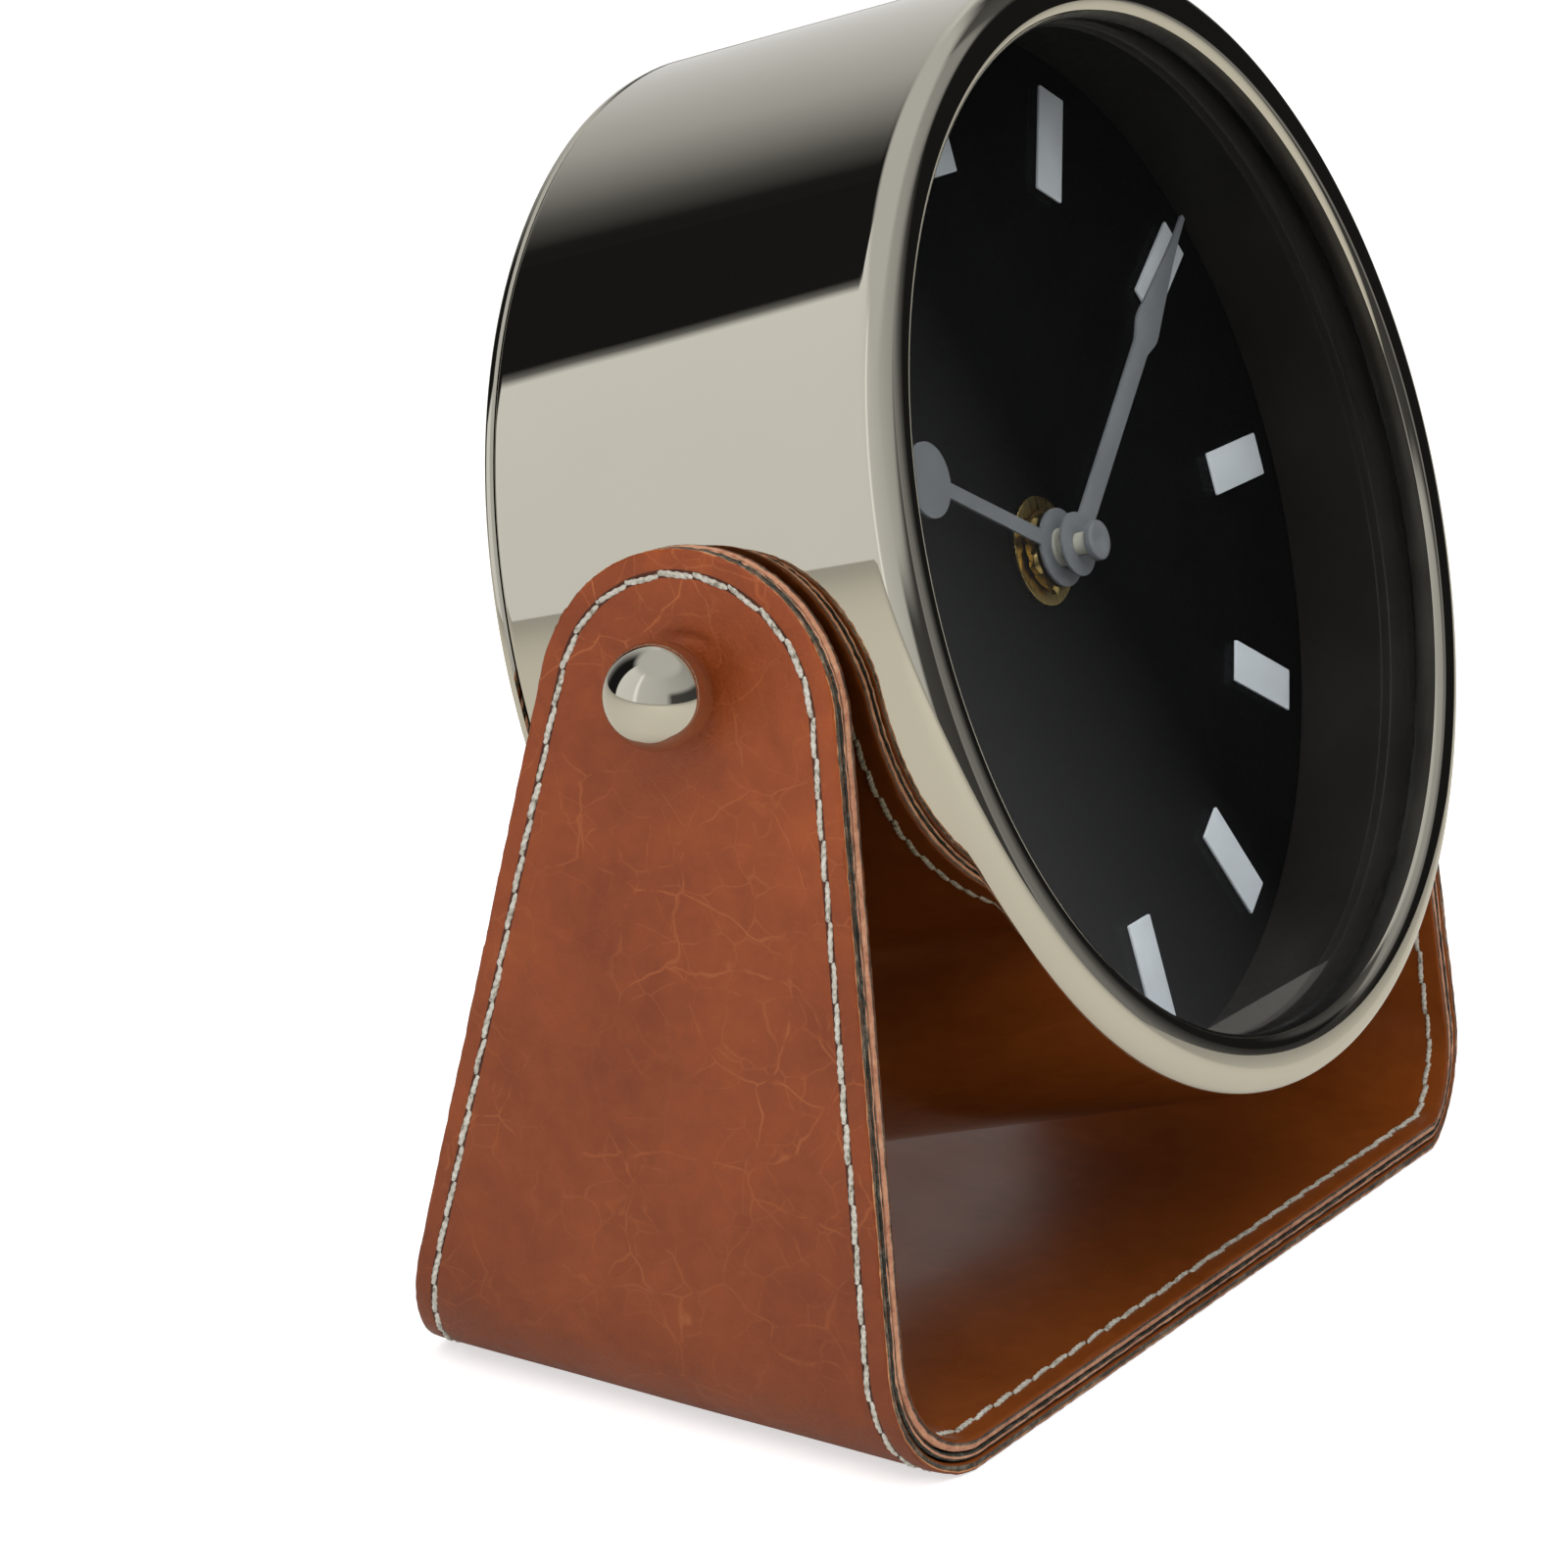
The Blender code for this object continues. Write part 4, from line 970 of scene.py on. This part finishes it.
def make_stand():
    """Outer leather, fibre core and inner leather, each closed and lying on the next."""
    first = LEATHER + LAYER_GAP
    second = first + CORE + LAYER_GAP
    outer = strap_layer("outer_leather", 0.0, LEATHER,
                        [OUTER_FACE, CUT_TAN, CUT_GREY, INNER_FACE, GROOVE_PAINTED_SHADE],
                        [1, 2, 2, 2, 2], True, 1.0, 0.35 * MM, groove=4)
    finish_piece(outer, "stand", ["stand_outer_leather"])
    core = strap_layer("fibre_core", first, CORE, [CORE_FIBRE, CUT_ROSE, CORE_FIBRE],
                       [1], False, 5.0, 0.4 * MM)
    finish_piece(core, "stand", ["stand_core"])
    inner = strap_layer("inner_leather", second, LEATHER,
                        [CUT_ROSE, CUT_ROSE, CUT_GREY, CUT_DARK, INNER_FACE],
                        [1, 1, 2, 3], False, 9.0, 0.25 * MM)
    finish_piece(inner, "stand", ["stand_inner_leather"])


def contour(inset):
    """Points (s, v) a fixed distance inside the edge, from the base to the arm's top."""
    out = []
    for row in STRAP.rows(400, 80):
        (s, v), (ds, dv) = STRAP.edge(row)
        out.append((s + ds * inset, v + dv * inset))
    return out


def spaced(points, pitch):
    """Points spread evenly along a polyline, as near the given pitch as fits its length."""
    legs = [(a, b, hypot(b[0] - a[0], b[1] - a[1])) for a, b in zip(points, points[1:])]
    total = sum(length for _, _, length in legs)
    count = round(total / pitch)
    out = []
    travelled = 0.0
    for (s0, v0), (s1, v1), length in legs:
        while length > 0 and len(out) * total / count <= travelled + length:
            share = (len(out) * total / count - travelled) / length
            out.append((s0 + (s1 - s0) * share, v0 + (v1 - v0) * share))
        travelled += length
    if len(out) == count:
        out.append(points[-1])
    return out


def stitch_loops(start, end, seed):
    """Cross-sections of one stitch between two holes, in (s, v, height) coordinates.

    The thread is two twisted plies that rise out of one hole and dive into the next.
    """
    length = hypot(end[0] - start[0], end[1] - start[1])
    along = ((end[0] - start[0]) / length, (end[1] - start[1]) / length)
    across = (-along[1], along[0])
    slant = (0.20 + 0.10 * noise.noise(Vector((seed * 1.9, 4.1, 0.7)))) * MM
    wobble = 0.28 * MM * noise.noise(Vector((seed * 3.7, 1.3, 0.2)))
    fat = 1.0 + 0.25 * noise.noise(Vector((seed * 2.3, 7.9, 0.4)))
    steps, sides = 16, 10
    overlap = 0.03
    turns = 2.2
    loops = []
    for i in range(steps + 1):
        t = i / steps
        arch = sin(pi * t) ** 0.3
        half_width = (THREAD_HALF_WIDTH + 0.09 * MM * arch) * fat
        half_height = THREAD_HALF_HEIGHT + 0.10 * MM * arch
        height = THREAD_RISE * arch - THREAD_SINK
        shift = slant * (1 - 2 * t) + wobble * sin(pi * t)
        reach = length * (t * (1 + 2 * overlap) - overlap)
        twist = 2 * pi * (t * turns + seed * 0.37)
        loop = []
        for j in range(sides):
            angle = 2 * pi * j / sides
            ply = 1.0 + 0.16 * cos(2 * (angle - twist))
            w = shift + half_width * ply * cos(angle)
            h = height + half_height * ply * sin(angle)
            loop.append((start[0] + along[0] * reach + across[0] * w,
                         start[1] + along[1] * reach + across[1] * w, h))
        loops.append(loop)
    return loops


def needle_hole(centre):
    """Cross-sections of the dark funnel round a needle hole, near-black as painted shade of the
    hole's inside.
    """
    rings = ((0.42 * MM, -0.06 * MM), (0.34 * MM, 0.0), (0.15 * MM, 0.02 * MM))
    return [[(centre[0] + x, centre[1] + y, z) for x, y, z in around(radius, height, 12)]
            for radius, height in rings]


def on_surface(name, parts, surface, material):
    """Skins of many small parts, laid on a surface of the strap as one piece."""
    points, faces = [], []
    for loops in parts:
        new_points, new_faces = skin([[surface(*p) for p in loop] for loop in loops])
        base = len(points)
        points += new_points
        faces += [tuple(base + i for i in face) for face in new_faces]
    piece = add_piece(name, points, faces, [material], sharp=radians(60))
    finish_piece(piece, "stand")


def stitch_row(name, holes, surface):
    """A run of stitches through the given holes on a surface of the strap."""
    stitches = [stitch_loops(start, end, number)
                for number, (start, end) in enumerate(zip(holes, holes[1:]))]
    on_surface(name, stitches, surface, THREAD)
    # the dark funnels at the holes are painted shade
    on_surface(name + "_holes", [needle_hole(hole) for hole in holes[:-1]], surface, HOLE_PAINTED_SHADE)


def make_stitching():
    """Saddle stitching along both edges, outside on the arms and inside all the way."""
    inner_surface = 2 * LEATHER + CORE + 2 * LAYER_GAP
    seam = contour(STITCH_INSET)
    on_arm = [p for p in seam if p[0] > STRAP.flat + 2 * MM]
    outer_path = on_arm + [(s, -v) for s, v in reversed(on_arm[:-1])]
    inner_path = seam + [(s, -v) for s, v in reversed(seam[:-1])]
    for name, side in (("left", -1), ("right", 1)):
        def outside(s, v, height, side=side):
            return STRAP.place(side * s, v, -height - swell(side * s, v, STITCH_INSET))

        def inside(s, v, height, side=side):
            return STRAP.place(side * s, v, inner_surface + height)

        stitch_row(f"stitches_outer_{name}", spaced(outer_path, STITCH_PITCH), outside)
        stitch_row(f"stitches_inner_{name}", spaced(inner_path, STITCH_PITCH), inside)


# ---- remaining CAD nodes

def paint_cad_nodes():
    """Finishes for the CAD nodes that stay as they are."""
    finishes = {
        GEAR_PLASTIC: ("hour_wheel", "centre_wheel", "minute_wheel", "third_wheel"),
        STEEL: ("step_rotor", "quartz_crystal", "pivot_stud_left", "pivot_stud_right",
                "pivot_nut_left", "pivot_nut_right"),
        COPPER: ("motor_coil",),
        RUBBER: ("rubber_washer",)}
    for material, names in finishes.items():
        for name in names:
            mesh = NODES[name].data
            mesh.materials.clear()
            mesh.materials.append(material)


# ---- studio

def make_camera():
    """Long lens from the front left, a little above the clock and slightly rolled."""
    azimuth, elevation, roll = radians(-59.759), radians(16.398), radians(2.086)
    back = Vector((sin(azimuth) * cos(elevation), -cos(azimuth) * cos(elevation), sin(elevation)))
    right = Vector((cos(azimuth), sin(azimuth), 0.0))
    up = back.cross(right)
    rolled_right = cos(roll) * right + sin(roll) * up
    rolled_up = cos(roll) * up - sin(roll) * right
    matrix = Matrix((rolled_right, rolled_up, back)).transposed().to_4x4()
    matrix.translation = Vector((-581.55, -306.14, 257.34)) * MM
    data = bpy.data.cameras.new("camera")
    data.sensor_width = 36.0
    data.lens = 116.07
    data.clip_start = 0.01
    camera = add_object("camera", data)
    camera.matrix_world = matrix
    bpy.context.scene.camera = camera


def make_floor():
    """Round pale table top; brighter to the camera than in reflections."""
    look = Finish("floor_white", (0.86, 0.86, 0.86), 0.9, specular_ior_level=0.1,
                  emission_color=(1.0, 1.0, 1.0, 1.0))
    path = look.add("LightPath").outputs
    look.feed(base_color=look.mix(path["Is Glossy Ray"], (0.86, 0.86, 0.86), (0.60, 0.57, 0.50)),
              emission_strength=look.spread(path["Is Camera Ray"], 0.12, 0.60, 0.0, 1.0))
    radius, below, steps = 4.0, 0.2 * MM, 64
    mesh = bpy.data.meshes.new("floor")
    mesh.from_pydata(around(radius, -below, steps), [], [tuple(range(steps))])
    mesh.materials.append(look.material)
    add_object("floor", mesh)


def bands(brightness):
    """Ramp stops for the brightness of the tent by azimuth in degrees."""
    return [((azimuth + 180) / 360, (level, level, level)) for azimuth, level in brightness]


def by_height(look, height, low, high, start, end):
    """Blend from one colour to another between two elevations in degrees."""
    rise = look.spread(height, 0.0, 1.0, sin(radians(start)), sin(radians(end)),
                       interpolation_type="SMOOTHSTEP")
    return look.mix(rise, low, high)


def make_world():
    """Light tent: pale panels left and in front, a dark gap behind, a dim right side.

    A dark strip low in front, as of a table edge, draws the dark line along the rim.
    """
    world = bpy.data.worlds.new("studio")
    world.use_nodes = True
    bpy.context.scene.world = world
    look = Nodes(world.node_tree)
    direction = look.add("TexCoord").outputs["Generated"]
    x, y, height = look.add("SeparateXYZ", {"Vector": direction}).outputs
    azimuth = look.calc("ARCTAN2", x, look.calc("MULTIPLY", y, -1.0))
    share = look.calc("ADD", look.calc("DIVIDE", azimuth, 2 * pi), 0.5)
    left = [(-180, 0.012), (-154.8, 0.012), (-154.2, 0.84), (-112, 0.78), (-106, 1.15),
            (-99, 0.66), (-40, 0.56)]
    low_front = [(-28, 0.07), (40, 0.05), (46, 0.27), (58.4, 0.20), (59.6, 0.012), (95, 0.012)]
    high_front = [(-28, 0.52), (40, 0.40), (59, 0.32), (62, 0.10), (95, 0.05)]
    right = [(112, 0.42), (122, 0.75), (135, 0.62), (149, 0.46), (158, 0.29), (168, 0.10),
             (176, 0.014)]
    low = look.ramp(share, bands(left + low_front + right))
    high = look.ramp(share, bands(left + high_front + right))
    walls = by_height(look, height, low, high, 13, 24)
    tent = by_height(look, height, walls, (0.60, 0.60, 0.60), 46, 60)
    seen = look.add("LightPath").outputs["Is Camera Ray"]
    look.tree.links.new(look.mix(seen, tent, (0.97, 0.97, 0.97)),
                        look.tree.nodes["Background"].inputs["Color"])


def make_lights():
    """Large soft key from the upper left and a weak one over the front."""
    for name, place, size, power in (("key", (-0.9, -0.5, 1.1), 0.9, 9.0),
                                     ("top", (0.1, -0.3, 1.3), 1.0, 6.0)):
        data = bpy.data.lights.new(name, "AREA")
        data.size, data.energy = size, power
        light = add_object(name, data)
        light.location = place
        aim = Vector((0.0, 0.0, 0.08)) - Vector(place)
        light.rotation_euler = aim.to_track_quat("-Z", "Y").to_euler()
        light.visible_glossy = False
    bpy.context.scene.view_settings.view_transform = "Standard"


make_camera()
make_world()
make_lights()
make_floor()
make_drum()
make_back_cover()
make_glass_and_dial()
make_marks()
make_hands()
make_dial_fasteners()
make_movement()
make_set_knob()
make_cell()
make_pivots()
make_stand()
make_stitching()
paint_cad_nodes()
